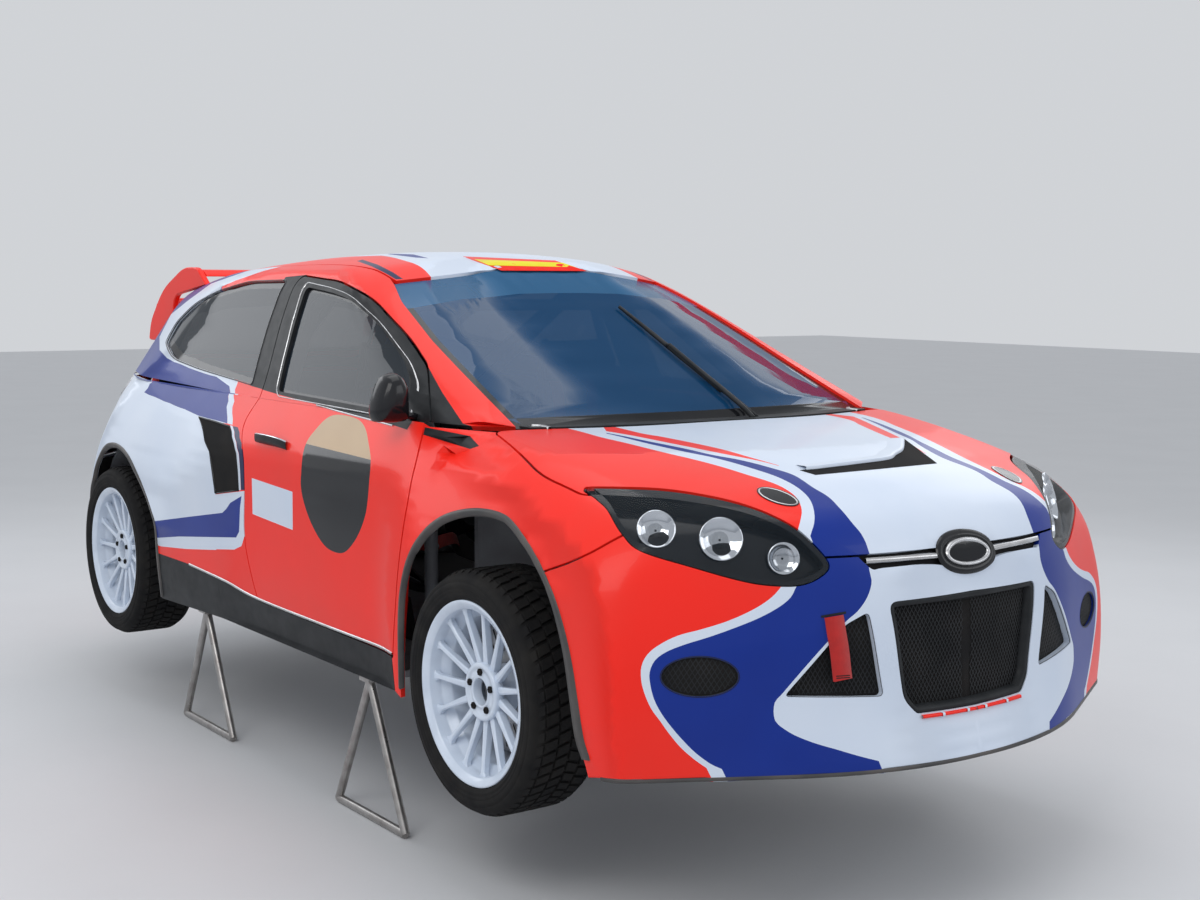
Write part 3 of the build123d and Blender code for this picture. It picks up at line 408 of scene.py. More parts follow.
def grown(corners, by):
    """Outline corners moved outwards by a distance."""
    c = np.array(corners, float)
    n = len(c)
    area = sum(c[i - 1, 0] * c[i, 1] - c[i, 0] * c[i - 1, 1] for i in range(n))
    turn = 1 if area > 0 else -1
    out = c.copy()
    for i in range(n):
        normal = np.zeros(2)
        for a, b in ((c[i - 1], c[i]), (c[i], c[(i + 1) % n])):
            d = (b - a)[:2]
            normal += turn * np.array((d[1], -d[0])) / np.linalg.norm(d)
        out[i, :2] += normal * 2 * by / (normal @ normal)
    return out


def inside(points, loop):
    """Which points lie in a closed loop."""
    x, y = points[:, 0][:, None], points[:, 1][:, None]
    x0, y0 = loop[:, 0][None, :], loop[:, 1][None, :]
    x1, y1 = np.roll(x0, -1, axis=1), np.roll(y0, -1, axis=1)
    cross = (y0 > y) != (y1 > y)
    with np.errstate(divide="ignore", invalid="ignore"):
        left = x < (x1 - x0) * (y - y0) / (y1 - y0) + x0
    return (cross & left).sum(1) % 2 == 1


def inside_all(points, loops):
    """Which points lie in the first loop and in none of the others."""
    keep = inside(points, loops[0])
    for hole in loops[1:]:
        keep &= ~inside(points, hole)
    return keep


def to_frame(p):
    """Points of the car's own frame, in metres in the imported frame."""
    return np.asarray(p) / 1000 + SHIFT


class Shape:
    """Gathers vertices, normals, faces and finishes of one object."""

    def __init__(self):
        self.v, self.n, self.f, self.m, self.smooth, self.count = [], [], [], [], [], 0

    def add(self, verts, faces, finish=0, normals=None, smooth=True):
        """Adds faces with one finish, or one for each face, and normals where they are given."""
        verts = np.asarray(verts, float)
        faces = [tuple(int(i) + self.count for i in f) for f in faces]
        finish = np.broadcast_to(finish, (len(faces),))
        self.v.append(verts)
        self.n.append(np.zeros_like(verts) if normals is None else normals)
        self.f += faces
        self.m += [int(i) for i in finish]
        self.smooth += [smooth] * len(faces)
        self.count += len(verts)

    def mirrored(self):
        """The shape on the car's other side."""
        other = Shape()
        flip = np.array((1, -1, 1))
        other.v = [v * flip for v in self.v]
        other.n = [n * flip for n in self.n]
        other.f = [f[::-1] for f in self.f]
        other.m = list(self.m)
        other.smooth = list(self.smooth)
        other.count = self.count
        return other

    def join(self, other):
        """Adds the other shape's faces."""
        shift = self.count
        self.v += other.v
        self.n += other.n
        self.f += [tuple(i + shift for i in f) for f in other.f]
        self.m += other.m
        self.smooth += other.smooth
        self.count += other.count

    def build(self, name, finishes, body, replaces=()):
        """Makes the object, rides it on a body and hides the nodes it stands for."""
        mesh = bpy.data.meshes.new(name)
        verts = np.clip(to_frame(np.vstack(self.v)), *(np.array(c) for c in CAD_BOX))
        mesh.from_pydata(verts.tolist(), [], self.f)
        for m in finishes:
            mesh.materials.append(m)
        mesh.polygons.foreach_set("material_index", self.m)
        mesh.polygons.foreach_set("use_smooth", self.smooth)
        mesh.update()
        normals = np.vstack(self.n)
        if np.abs(normals).max() > 0:
            own = np.array([v.normal[:] for v in mesh.vertices])
            given = np.linalg.norm(normals, axis=1) > 0.5
            own[given] = normals[given]
            mesh.normals_split_custom_set_from_vertices(own.tolist())
        obj = bpy.data.objects.new(name, mesh)
        bpy.context.scene.collection.objects.link(obj)
        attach(obj, body)
        for node in replaces:
            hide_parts(node)
        return obj


def band_faces(rows, count, loop=False):
    """Four-sided faces between rows of count points; loop also joins each row's two ends."""
    return [(r + i, r + (i + 1) % count, r + count + (i + 1) % count, r + count + i)
            for r in range(0, (rows - 1) * count, count) for i in range(count if loop else count - 1)]


def end_faces(rows, count):
    """Faces that close the first and the last row."""
    return [tuple(range(count))[::-1], tuple(range((rows - 1) * count, rows * count))]


def facing(verts, faces, up):
    """The faces, all turned round if most of them look against the directions up."""
    a, b, c = (verts[[f[k] for f in faces]] for k in (0, 1, 2))
    if (np.cross(b - a, c - a) * up).sum() < 0:
        return [f[::-1] for f in faces]
    return faces


# Materials
def new_material(name, colour, rough=0.5, metal=0.0, coat=0.0, vary=None, vary_scale=8.0, bump=0.0,
                 bump_scale=400.0, rough_vary=0.0, rough_scale=30.0, sheen=0.0, spec=None):
    """Procedural finish: colour drift, fine bump and uneven gloss from noise in the object's place."""
    mat = bpy.data.materials.new(name)
    mat.use_nodes = True
    nodes, links = mat.node_tree.nodes, mat.node_tree.links
    shader = nodes["Principled BSDF"]
    shader.inputs["Base Color"].default_value = (*colour, 1)
    shader.inputs["Roughness"].default_value = rough
    shader.inputs["Metallic"].default_value = metal
    shader.inputs["Coat Weight"].default_value = coat
    shader.inputs["Coat Roughness"].default_value = 0.04
    shader.inputs["Sheen Weight"].default_value = sheen
    if spec is not None:
        shader.inputs["Specular IOR Level"].default_value = spec
    place = nodes.new("ShaderNodeTexCoord")

    def noise(scale):
        node = nodes.new("ShaderNodeTexNoise")
        node.inputs["Scale"].default_value = scale
        node.inputs["Detail"].default_value = 3.0
        links.new(place.outputs["Object"], node.inputs["Vector"])
        return node.outputs["Fac"]

    if vary is not None:
        mix = nodes.new("ShaderNodeMix")
        mix.data_type = "RGBA"
        mix.inputs["A"].default_value = (*colour, 1)
        mix.inputs["B"].default_value = (*vary, 1)
        ramp = nodes.new("ShaderNodeMapRange")
        ramp.inputs["From Min"].default_value = 0.35
        ramp.inputs["From Max"].default_value = 0.75
        links.new(noise(vary_scale), ramp.inputs["Value"])
        links.new(ramp.outputs["Result"], mix.inputs["Factor"])
        links.new(mix.outputs["Result"], shader.inputs["Base Color"])
    if rough_vary:
        ramp = nodes.new("ShaderNodeMapRange")
        ramp.inputs["To Min"].default_value = max(rough - rough_vary, 0.02)
        ramp.inputs["To Max"].default_value = min(rough + rough_vary, 1.0)
        links.new(noise(rough_scale), ramp.inputs["Value"])
        links.new(ramp.outputs["Result"], shader.inputs["Roughness"])
    if bump:
        node = nodes.new("ShaderNodeBump")
        node.inputs["Strength"].default_value = bump
        node.inputs["Distance"].default_value = 0.001
        links.new(noise(bump_scale), node.inputs["Height"])
        links.new(node.outputs["Normal"], shader.inputs["Normal"])
    return mat


def paint(name, colour, vary):
    """Body colour with a thin, slightly uneven clear coat."""
    return new_material(name, colour, rough=0.34, coat=0.12, vary=vary, vary_scale=3.0, bump=0.04,
                        bump_scale=260.0, rough_vary=0.05, rough_scale=5.0, spec=0.2)


RED = paint("paint_red", (0.93, 0.022, 0.012), (0.86, 0.03, 0.018))
# The white's blue tint is painted shade: it is the cast that white takes in sky-lit shade.
WHITE = paint("paint_white", (0.66, 0.73, 0.84), (0.60, 0.68, 0.81))
BLUE = paint("paint_blue", (0.004, 0.028, 0.26), (0.003, 0.022, 0.22))
NAVY = paint("paint_navy", (0.004, 0.012, 0.07), (0.003, 0.01, 0.06))
YELLOW = paint("paint_yellow", (0.80, 0.72, 0.03), (0.75, 0.66, 0.03))
GOLD = paint("plate_gold", (0.50, 0.36, 0.22), (0.44, 0.31, 0.19))
BLACK = new_material("gloss_black", (0.008, 0.009, 0.011), rough=0.18, coat=0.15, vary=(0.014, 0.015, 0.018),
                     vary_scale=6, bump=0.03, bump_scale=200, rough_vary=0.05, spec=0.25)
TRIM = new_material("black_trim", (0.016, 0.018, 0.02), rough=0.42, vary=(0.03, 0.032, 0.035), vary_scale=12,
                    bump=0.12, bump_scale=700, rough_vary=0.08, spec=0.14)
ARCH = new_material("arch_edge", (0.05, 0.05, 0.052), rough=0.4, vary=(0.10, 0.09, 0.085), vary_scale=9,
                    bump=0.15, bump_scale=500, rough_vary=0.12, spec=0.3)
# Near black. In the front intakes, the side scoop, the rear pipe opening and the disc slots it is painted
# shade of these hollows; on the bonnet vent it is the black mesh with painted shade behind it.
DARK = new_material("dark_inner", (0.012, 0.012, 0.013), rough=0.8, vary=(0.022, 0.02, 0.019), vary_scale=6,
                    bump=0.3, bump_scale=120, spec=0.1)
SILVER = new_material("silver_edge", (0.62, 0.63, 0.65), rough=0.28, metal=0.9, vary=(0.45, 0.44, 0.44),
                      vary_scale=14, rough_vary=0.1, bump=0.05, bump_scale=300)
CHROME = new_material("chrome", (0.78, 0.82, 0.88), rough=0.08, metal=1.0, vary=(0.7, 0.74, 0.8),
                      vary_scale=20, rough_vary=0.04)
STEEL = new_material("steel_tube", (0.42, 0.41, 0.40), rough=0.33, metal=0.95, vary=(0.28, 0.26, 0.25),
                     vary_scale=25, rough_vary=0.14, bump=0.12, bump_scale=350)
CAST = new_material("cast_metal", (0.11, 0.11, 0.115), rough=0.6, metal=0.5, vary=(0.06, 0.055, 0.05),
                    vary_scale=18, rough_vary=0.1, bump=0.5, bump_scale=300)
ALLOY = new_material("alloy", (0.5, 0.51, 0.53), rough=0.38, metal=0.9, vary=(0.4, 0.4, 0.41),
                     vary_scale=20, rough_vary=0.1, bump=0.15, bump_scale=400)
# The rims' blue tint is painted shade, matching the body white's cast in sky-lit shade.
RIM = new_material("rim_white", (0.66, 0.74, 0.86), rough=0.35, coat=0.5, vary=(0.56, 0.64, 0.76),
                   vary_scale=16, rough_vary=0.08, bump=0.05, bump_scale=300)
RUBBER = new_material("tyre_rubber", (0.012, 0.012, 0.013), rough=0.78, vary=(0.022, 0.021, 0.02),
                      vary_scale=14, rough_vary=0.12, bump=0.35, bump_scale=500, spec=0.12)
CAGE = new_material("cage_paint", (0.32, 0.33, 0.36), rough=0.4, vary=(0.26, 0.27, 0.3), vary_scale=15,
                    rough_vary=0.08, bump=0.06, bump_scale=300)
# The shell's inside is white paint darkened to a blue-grey: painted shade of the dim cabin.
SHELL = new_material("inner_paint", (0.34, 0.35, 0.38), rough=0.55, vary=(0.26, 0.26, 0.28), vary_scale=9,
                     rough_vary=0.1, bump=0.1, bump_scale=250)


def glass(name, tint, clear=0.85, rough=0.02):
    """Tinted pane: a thin coat of reflection over a see-through body."""
    mat = bpy.data.materials.new(name)
    mat.use_nodes = True
    nodes, links = mat.node_tree.nodes, mat.node_tree.links
    shader = nodes["Principled BSDF"]
    shader.inputs["Base Color"].default_value = (*tint, 1)
    shader.inputs["Roughness"].default_value = rough
    shader.inputs["IOR"].default_value = 1.3
    shader.inputs["Coat Weight"].default_value = 0.05
    shader.inputs["Coat Roughness"].default_value = 0.02
    shader.inputs["Alpha"].default_value = 1 - clear
    place = nodes.new("ShaderNodeTexCoord")
    noise = nodes.new("ShaderNodeTexNoise")
    noise.inputs["Scale"].default_value = 5.0
    ramp = nodes.new("ShaderNodeMapRange")
    ramp.inputs["To Min"].default_value = rough
    ramp.inputs["To Max"].default_value = rough + 0.04
    links.new(place.outputs["Object"], noise.inputs["Vector"])
    links.new(noise.outputs["Fac"], ramp.inputs["Value"])
    links.new(ramp.outputs["Result"], shader.inputs["Roughness"])
    return mat


# Window and screen glass are nearly opaque and near black: the cabin's shade behind them is painted into the
# glass.
WINDOW = glass("window_glass", (0.010, 0.018, 0.028), clear=0.13)
SCREEN = glass("screen_glass", (0.008, 0.058, 0.15), clear=0.13)
SUN_STRIP = glass("sun_strip", (0.03, 0.12, 0.25), clear=0.05, rough=0.2)
LENS = glass("lamp_lens", (0.03, 0.045, 0.06), clear=0.82)
STRAP_RED = new_material("strap_webbing", (0.50, 0.008, 0.006), rough=0.75, vary=(0.42, 0.006, 0.005),
                         vary_scale=40, bump=0.5, bump_scale=900, sheen=0.3)
FABRIC = new_material("seat_fabric", (0.02, 0.021, 0.024), rough=0.9, vary=(0.034, 0.034, 0.038),
                      vary_scale=30, bump=0.6, bump_scale=1100, sheen=0.25)
RED_LENS = new_material("lamp_red", (0.35, 0.008, 0.006), rough=0.1, coat=1.0, vary=(0.5, 0.012, 0.01),
                        vary_scale=60, bump=0.4, bump_scale=180)

# Finishes of the solids, by node
FINISHES = {
    "roof": RED, "bonnet": RED, "front_bumper": RED, "rear_bumper": RED, "tailgate": RED, "rear_wing": RED,
    "cowl": TRIM, "windscreen": WINDOW, "rear_window": WINDOW, "quarter_windows": WINDOW,
    "headlamps": BLACK, "tail_lamps": RED_LENS, "intake_panels": TRIM, "wiper": TRIM, "floor_pan": SHELL,
    "roll_cage": CAGE, "seats": TRIM, "dashboard": TRIM, "steering_wheel": TRIM, "engine": CAST,
    "radiator": ALLOY, "sump_guard": ALLOY, "exhaust": STEEL, "subframes": CAST, "front_rails": SHELL,
    "rear_uprights": CAST, "rear_struts": STEEL, "axle_stands": STEEL, "tow_strap": RED,
    "mirror_right": BLACK,
}
for side in ("right", "left"):
    FINISHES.update({
        f"side_frame_{side}": RED, f"front_fender_{side}": RED, f"door_{side}": RED,
        f"door_window_{side}": WINDOW, f"door_handle_{side}": TRIM, f"front_knuckle_{side}": CAST,
        f"front_strut_{side}": STEEL, f"front_rim_{side}": RIM, f"rear_rim_{side}": RIM,
        f"front_tyre_{side}": RUBBER, f"rear_tyre_{side}": RUBBER,
    })
for name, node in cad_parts.items():
    node.data.materials.clear()
    node.data.materials.append(FINISHES[name])


# Bodywork, modelled on the left at +Y and mirrored to the right
PAINTS = [RED, WHITE, BLUE, NAVY, YELLOW, GOLD, BLACK, TRIM, ARCH, DARK, SILVER]
P_RED, P_WHITE, P_BLUE, P_NAVY, P_YELLOW, P_GOLD, P_BLACK, P_TRIM, P_ARCH, P_DARK, P_SILVER = range(11)
LIVERY_GAP = 2.6          # half the width of the gaps between panels
NORMAL_STEP = (26.0, 44.0)             # across and upwards
LOW_TOP = BELT_Z - 0.5    # upper edge of the skins on the lower hull


def body_depth(x, y, z):
    """Distance-like field of the body, without the cut between its lower and upper hull."""
    low = smooth_max(LOWER.depth(x, y, np.minimum(z, BELT_Z)), LOWER.over(x, y, z), LOWER.soft)
    high = smooth_max(UPPER.depth(x, y, np.maximum(z, BELT_Z)), UPPER.over(x, y, z), UPPER.soft)
    return np.where(z < BELT_Z, low, high)


def body_normals(p):
    """Directions out of the body, evened out over NORMAL_STEP."""
    x, y, z = p[:, 0], p[:, 1], p[:, 2]
    h, hz = NORMAL_STEP
    return unit(np.stack([
        (body_depth(x + h, y, z) - body_depth(x - h, y, z)) / (2 * h),
        (body_depth(x, y + h, z) - body_depth(x, y - h, z)) / (2 * h),
        (body_depth(x, y, z + hz) - body_depth(x, y, z - hz)) / (2 * hz)], axis=1))


def closed(line):
    """Line with its first point again at its end."""
    line = np.asarray(line, float)
    return np.vstack([line, line[:1]])


def clipped(loop, axis, value, keep_above):
    """Part of a closed outline on one side of a straight line."""
    sign = 1 if keep_above else -1
    out = []
    for p, q in zip(loop, np.roll(loop, -1, axis=0)):
        a, b = sign * (p[axis] - value), sign * (q[axis] - value)
        if a >= 0:
            out.append(p)
        if a * b < 0:
            out.append(p + (q - p) * a / (a - b))
    return np.array(out)


def on_hull(line, hull, x, y, z):
    """Outline points at x, y and z as (s, z) on a hull, at their own heights."""
    return np.column_stack([hull.place(np.column_stack([x, y, z]))[:, 0], line[:, 1]])


def from_side(line, hull):
    """Outline (x, z) seen from the side, as (s, z) on a hull."""
    x, z = line[:, 0], np.clip(line[:, 1], hull.z[0], hull.z[-1])
    return on_hull(line, hull, x, lookup(hull.side_y, hull.row(z), (x - GRID_X) / GRID), z)


def from_front(line, hull):
    """Outline (y, z) seen from the front, as (s, z) on a hull."""
    y, z = line[:, 0], np.clip(line[:, 1], hull.z[0], hull.z[-1])
    return on_hull(line, hull, lookup(hull.front_x, hull.row(z), np.abs(y) / GRID), y, z)


def from_rear(line, hull):
    """Outline (y, z) seen from behind, as (s, z) on a hull."""
    y, z = line[:, 0], np.clip(line[:, 1], hull.z[0], hull.z[-1])
    return on_hull(line, hull, lookup(hull.rear_x, hull.row(z), np.abs(y) / GRID), y, z)


def pixels(points, hull, closed_line=False, step=12.0):
    """Curve traced on the photograph, as (s, z) on a hull."""
    return curve(hull.place(seen(points)), closed_line, step)


def pixels_top(points, closed_line=False, step=12.0):
    """Curve traced on the photograph, as (x, y) seen from above, on the left side."""
    return curve(seen(points)[:, :2] * (1, -1), closed_line, step)


def fill_region(loops, marks, region, step):
    """Triangles where region() holds, with all loops and marks kept as lines of edges."""
    lines = [closed(a) for a in loops] + [np.asarray(m, float) for m in marks]
    outline = np.vstack(lines)
    low, high = np.asarray(loops[0]).min(0), np.asarray(loops[0]).max(0)
    grid = []
    for i, v in enumerate(np.arange(low[1] + step / 2, high[1], step * 0.87)):
        u = np.arange(low[0] + (i % 2) * step / 2, high[0], step)
        grid.append(np.column_stack([u, np.full(len(u), v)]))
    grid = np.vstack(grid)
    grid = grid[region(grid)]
    keep = np.ones(len(grid), bool)
    for a in range(0, len(grid), 1500):
        gap = np.abs(grid[a:a + 1500, None, :] - outline[None, :, :])
        keep[a:a + 1500] = np.hypot(gap[..., 0], gap[..., 1]).min(1) > 0.5 * step
    coords = []
    edges = []
    for line in lines:
        start = len(coords)
        coords += [Vector(p) for p in line]
        edges += [(start + i, start + i + 1) for i in range(len(line) - 1)]
    coords += [Vector(p) for p in grid[keep]]
    made = delaunay_2d_cdt(coords, edges, [], 0, 1e-3)
    verts = np.array([tuple(v) for v in made[0]])
    faces = np.array([f for f in made[2] if len(f) == 3])
    faces = faces[region(verts[faces].mean(1))]
    used, back = np.unique(faces, return_inverse=True)
    return verts[used], back.reshape(faces.shape)


def open_edges(faces):
    """Edges with a face on one side only, in the direction of that face."""
    e = np.vstack([faces[:, [0, 1]], faces[:, [1, 2]], faces[:, [2, 0]]])
    owner = np.tile(np.arange(len(faces)), 3)
    key = np.sort(e, axis=1)
    _, first, count = np.unique(key, axis=0, return_index=True, return_counts=True)
    single = first[count == 1]
    return e[single], owner[single]


def skin(shape, lift, loops, region=None, zones=(), marks=(), step=24.0, base=0, depth=14.0, inset=0.0,
         inner=None, seam=True):
    """Piece of bodywork on the form: filled outlines, with turned-in edges and, if asked, a back.

    zones are (closed outline, finish), the later ones on top. marks are lines of edges. inner is
    the back's finish. seam keeps the middle of the car open, for the mirrored half.
    """
    loops = [np.asarray(a, float) for a in loops]
    if region is None:
        def region(p):
            return inside_all(p, loops)
    lines = [closed(z) for z, _ in zones] + list(marks)
    uv, tris = fill_region(loops, lines, region, step)
    middle = uv[tris].mean(1)
    finish = np.full(len(tris), base)
    for outline, colour in zones:
        finish[inside(middle, outline)] = colour
    verts = lift(uv)
    normals = body_normals(verts)
    if seam:
        on_seam = np.abs(verts[:, 1]) < 0.5
        verts[on_seam, 1] = 0.0
        normals[on_seam, 1] = 0.0
    a, b, c = verts[tris[:, 0]], verts[tris[:, 1]], verts[tris[:, 2]]
    flip = (np.cross(b - a, c - a) * normals[tris[:, 0]]).sum(1) < 0
    tris[flip] = tris[flip][:, ::-1]
    outer = verts - normals * inset
    shape.add(outer, tris, finish, normals)
    ends, owner = open_edges(tris)
    if seam:
        off = np.abs(verts[ends, 1]).max(1) > 0.01
        ends, owner = ends[off], owner[off]
    low = verts - normals * (inset + depth)
    ring_i = np.unique(ends)
    index = np.full(len(verts), -1)
    index[ring_i] = np.arange(len(ring_i))
    count = len(ring_i)
    quads = [(index[q], index[p], index[p] + count, index[q] + count) for p, q in ends]
    shape.add(np.vstack([outer[ring_i], low[ring_i]]), quads, finish[owner])
    if inner is not None:
        shape.add(low, tris[:, ::-1], inner, -normals)


def both(shape):
    """The shape with its mirror image."""
    whole = Shape()
    whole.join(shape)
    whole.join(shape.mirrored())
    return whole


def strip(shape, lift, line, widths, heights, finish, sign=1.0):
    """Raised band along a line on the form: its section is given by widths across and heights above it."""
    line = np.asarray(line, float)
    t = np.gradient(line, axis=0)
    across = unit(np.column_stack([t[:, 1], -t[:, 0]]) * sign)
    rows = []
    for w, h in zip(widths, heights):
        p = lift(line + across * w)
        rows.append(p + body_normals(p) * h)
    verts = np.vstack(rows)
    faces = band_faces(len(rows), len(line))
    up = body_normals(verts)[[f[0] for f in faces]]
    shape.add(verts, facing(verts, faces, up), finish)


# Side outlines (x, z, cut) as the solids have
DOOR = [
    (-459, 292, 20), (-405, 450, 40), (-366, 690, 60), (-358, 868, 40), (-408, 938, 20),
    (-590, 1106, 40), (-770, 1190, 80), (-1045, 1296, 80), (-1290, 1352, 60), (-1580, 1370, 25),
    (-1520, 1050, 60), (-1535, 900, 80), (-1470, 700, 80), (-1490, 500, 80), (-1405, 300, 25),
]
DOOR_WINDOW = [
    (-560, 975, 15), (-615, 1062, 30), (-700, 1118, 40), (-935, 1222, 60), (-1160, 1296, 60),
    (-1290, 1316, 40), (-1478, 1332, 24), (-1440, 1180, 60), (-1405, 990, 20),
]
QUARTER_WINDOW = [
    (-1620, 1000, 20), (-2111, 1030, 60), (-2400, 1056, 60), (-2680, 1110, 40), (-2660, 1180, 30),
    (-2480, 1258, 60), (-2254, 1308, 60), (-1980, 1346, 60), (-1660, 1352, 20),
]
FRONT_ARCH = [
    (-400, 150), (-375, 285), (-362, 421), (-344, 508), (-304, 598), (-227, 677), (-131, 730), (-4, 761),
    (117, 760), (210, 729), (300, 680), (366, 621), (418, 544), (452, 466), (473, 373), (487, 279),
    (508, 223), (525, 150),
]
REAR_ARCH = [(-3010, 150), (-3000, 300), (-2960, 420), (-2905, 510), (-2864, 553), (-2834, 610),
             (-2750, 683), (-2659, 707), (-2549, 701), (-2444, 673), (-2343, 618), (-2265, 559),
             (-2208, 499), (-2172, 441), (-2160, 300), (-2150, 150), ]
BONNET = [
    (-55, 330, 250), (-165, 742, 25), (150, 800, 60), (330, 792, 30), (560, 640, 40), (735, 455, 40),
    (842, 395, 20), (900, 300, 0),
]
TAILGATE_HALF_Y = 528.0
GATE_LOW_Z = 640.0
EDGE_Z, EDGE_Y = (960, 1180, 1290, 1352, 1418), (660, 622, 586, 545, 0)    # windscreen: z, half width
REAR_WINDOW = [(-10, 1265, 0), (450, 1240, 40), (480, 1040, 40), (-10, 1020, 0)]    # (y, z, cut), left half
ROOF_Y = 535.0
ROOF_END_X = -2643.0
TAIL_LAMP = [(-3110, 1000, 20), (-2960, 1000, 20), (-3010, 880, 30), (-3130, 840, 20), (-3400, 840, 20),
             (-3400, 960, 20)]
# Seen from the side (x, z): top of the dark sill, door pillar and its painted foot
SILL_LINE = [(-460.0, 302.0), (-1000.0, 302.0), (-1422.0, 307.0), (-1642.0, 331.0), (-1900.0, 352.0),
             (-2250.0, 360.0)]
PILLAR = [(-1630.0, 961.0), (-1500.0, 961.0), (-1490.0, 1050.0), (-1560.0, 1372.0), (-1700.0, 1364.0),
          (-1650.0, 1200.0)]
PILLAR_FOOT = [(-1650.0, 961.0), (-1500.0, 961.0), (-1500.0, 988.0), (-1650.0, 996.0)]
LAMP_PX = [(585.7, 488), (640, 488.5), (700, 495), (750, 507), (790, 525), (814, 545), (829, 565),
           (820, 577), (800, 585), (770, 585), (740, 580), (690, 566), (640, 550), (622, 533), (608, 510),
           (596, 498), ]


def half_loop(corners):
    """Half outline with its two ends carried to the centre line."""
    return rounded([(corners[0][0], 0, 0), *corners, (corners[-1][0], 0, 0)])


def band_loop(points):
    """Closed polygon from a traced curve towards the centre line, for paint inside the curve."""
    return np.vstack([[(-500, -60), (-500, points[0, 1])], points, [(1100, points[-1, 1]), (1100, -60)]])


def past_nose(line):
    """Curve seen from above, carried on over the edge of the nose."""
    return np.vstack([line, line[-1:] + (90.0, 0.0)])


# Curves of the livery, traced on the photograph's pixels
SWOOSH_OUT = past_nose(pixels_top([(541.5, 420.8), (560.6, 427.1), (597, 436.1), (629.5, 443.8),
    (663.9, 452.4), (692.6, 459.1), (721.3, 466.7), (748.1, 475), (773, 483), (788.3, 490.7),
    (797.8, 499.3), (801.7, 509.8), (800.7, 519.4), (797.8, 530.8)]))
SWOOSH_BLUE = past_nose(pixels_top([(606.5, 433.5), (644.8, 442.8), (683.1, 451.4), (711.7, 457.2),
    (740.4, 464.8), (769.1, 473.8), (788.3, 482), (801.7, 490.7), (810.3, 500.2), (814.1, 511.7),
    (814.1, 523.2), (810.3, 536)]))
SWOOSH_IN = past_nose(pixels_top([(606.5, 432.9), (644.8, 440.5), (683.1, 448.2), (711.7, 454.7),
    (740.4, 460), (769.1, 467.3), (792.1, 474.4), (812, 486.8), (828.6, 497), (840.8, 509.3),
    (851, 521.5), (861.2, 533.8), (866, 543)]))
WEDGE = np.vstack([
    pixels_top([(600.8, 424.1), (637.1, 432.3), (663.9, 437.1), (692.6, 442.8), (721.3, 449.1), (750, 457.2),
                (778.7, 465.4)]),
    pixels_top([(778.7, 465.8), (759.6, 461), (721.3, 453.4), (683.1, 445.7), (644.8, 438), (606.5, 431.3)])])
LAMP = pixels(LAMP_PX, LOWER, True, 10.0)


def offset_loop(loop, by):
    """Closed loop moved outwards by a distance."""
    t = np.roll(loop, -1, axis=0) - np.roll(loop, 1, axis=0)
    n = unit(np.column_stack([t[:, 1], -t[:, 0]]))
    x, y = loop[:, 0], loop[:, 1]
    area = (x * np.roll(y, -1) - np.roll(x, -1) * y).sum()
    return loop + n * by * (1 if area > 0 else -1)


def nose_line(z, s_end, count=60):
    """Points (s, z) along the nose at one height, from the centre line."""
    return np.column_stack([np.linspace(0, s_end, count), np.full(count, float(z))])


NOSE_Z = 714              # front edge of the bonnet
BUMPER_NOSE_Z = 708.5     # top edge of the bumper under it
BONNET_LOOP = half_loop(BONNET)
NOSE = LOWER.lift(nose_line(NOSE_Z, 700))[:, :2]
NOSE_LOOP = np.vstack([NOSE, [(NOSE[-1, 0], 1200), (-500, 1200), (-500, 0)]])
LAMP_TOP = LOWER.lift(offset_loop(LAMP, LIVERY_GAP))[:, :2]

LATCH_PX = (778, 497)
PIN_PX = [(532, 423.5), (541, 426), (550, 429)]
VENT_PX = [(800, 470.4), (821.6, 467.6), (891, 458.8), (894, 454.6), (903, 450.2), (904, 438.8), (937, 463.4),
           (876, 469.3), (815.5, 475)]
VENT_LIP_PX = [(806, 470), (821.6, 468.4), (856, 464.2), (888, 459.8), (896, 455), (903, 450), (904, 441)]


def ellipse_px(centre, along, across, count):
    """Points of an ellipse on the photograph, from its centre and two half axes (x, y)."""
    a = np.linspace(0, 2 * math.pi, count, endpoint=False)[:, None]
    return np.array(centre) + np.cos(a) * along + np.sin(a) * across


def make_bonnet():
    """Bonnet with its livery, latches, pins and the vent behind a raised lip."""
    shape = Shape()

    def region(p):
        return inside(p, BONNET_LOOP) & inside(p, NOSE_LOOP) & ~inside(p, LAMP_TOP)

    zones = [(band_loop(SWOOSH_OUT), P_WHITE), (WEDGE, P_RED),
             (np.vstack([SWOOSH_BLUE, SWOOSH_IN[::-1]]), P_BLUE)]
    skin(shape, LOWER.drop, [BONNET_LOOP], region, zones, [NOSE, closed(LAMP_TOP)], base=P_RED,
         inner=P_DARK)
    latch = pixels_top(ellipse_px(LATCH_PX, (21, 5), (3, 8), 20), True, 8.0)
    skin(shape, LOWER.drop, [latch], base=P_BLACK, inset=-2.0, depth=2.0, step=14.0)
    strip(shape, LOWER.drop, closed(offset_loop(latch, -5.0)), (-2, 0, 2), (2.0, 3.2, 2.0), P_SILVER)
    strip(shape, LOWER.drop, pixels_top(PIN_PX, step=6.0), (-7, -5, 5, 7), (0, 6, 6, 0), P_SILVER)
    whole = both(shape)
    # Dark patch for the vent: its black mesh, with painted shade of the opening behind.
    vent = seen(dense(VENT_PX))[:, :2]
    skin(whole, LOWER.drop, [vent], base=P_DARK, inset=-0.8, depth=0.8, step=14.0, seam=False)
    lip = curve(seen(VENT_LIP_PX)[:, :2], False, 10.0)
    strip(whole, LOWER.drop, lip, (-1, 0, 10, 46), (0.5, 9, 8, 0.2), P_WHITE, sign=-1.0)
    return whole


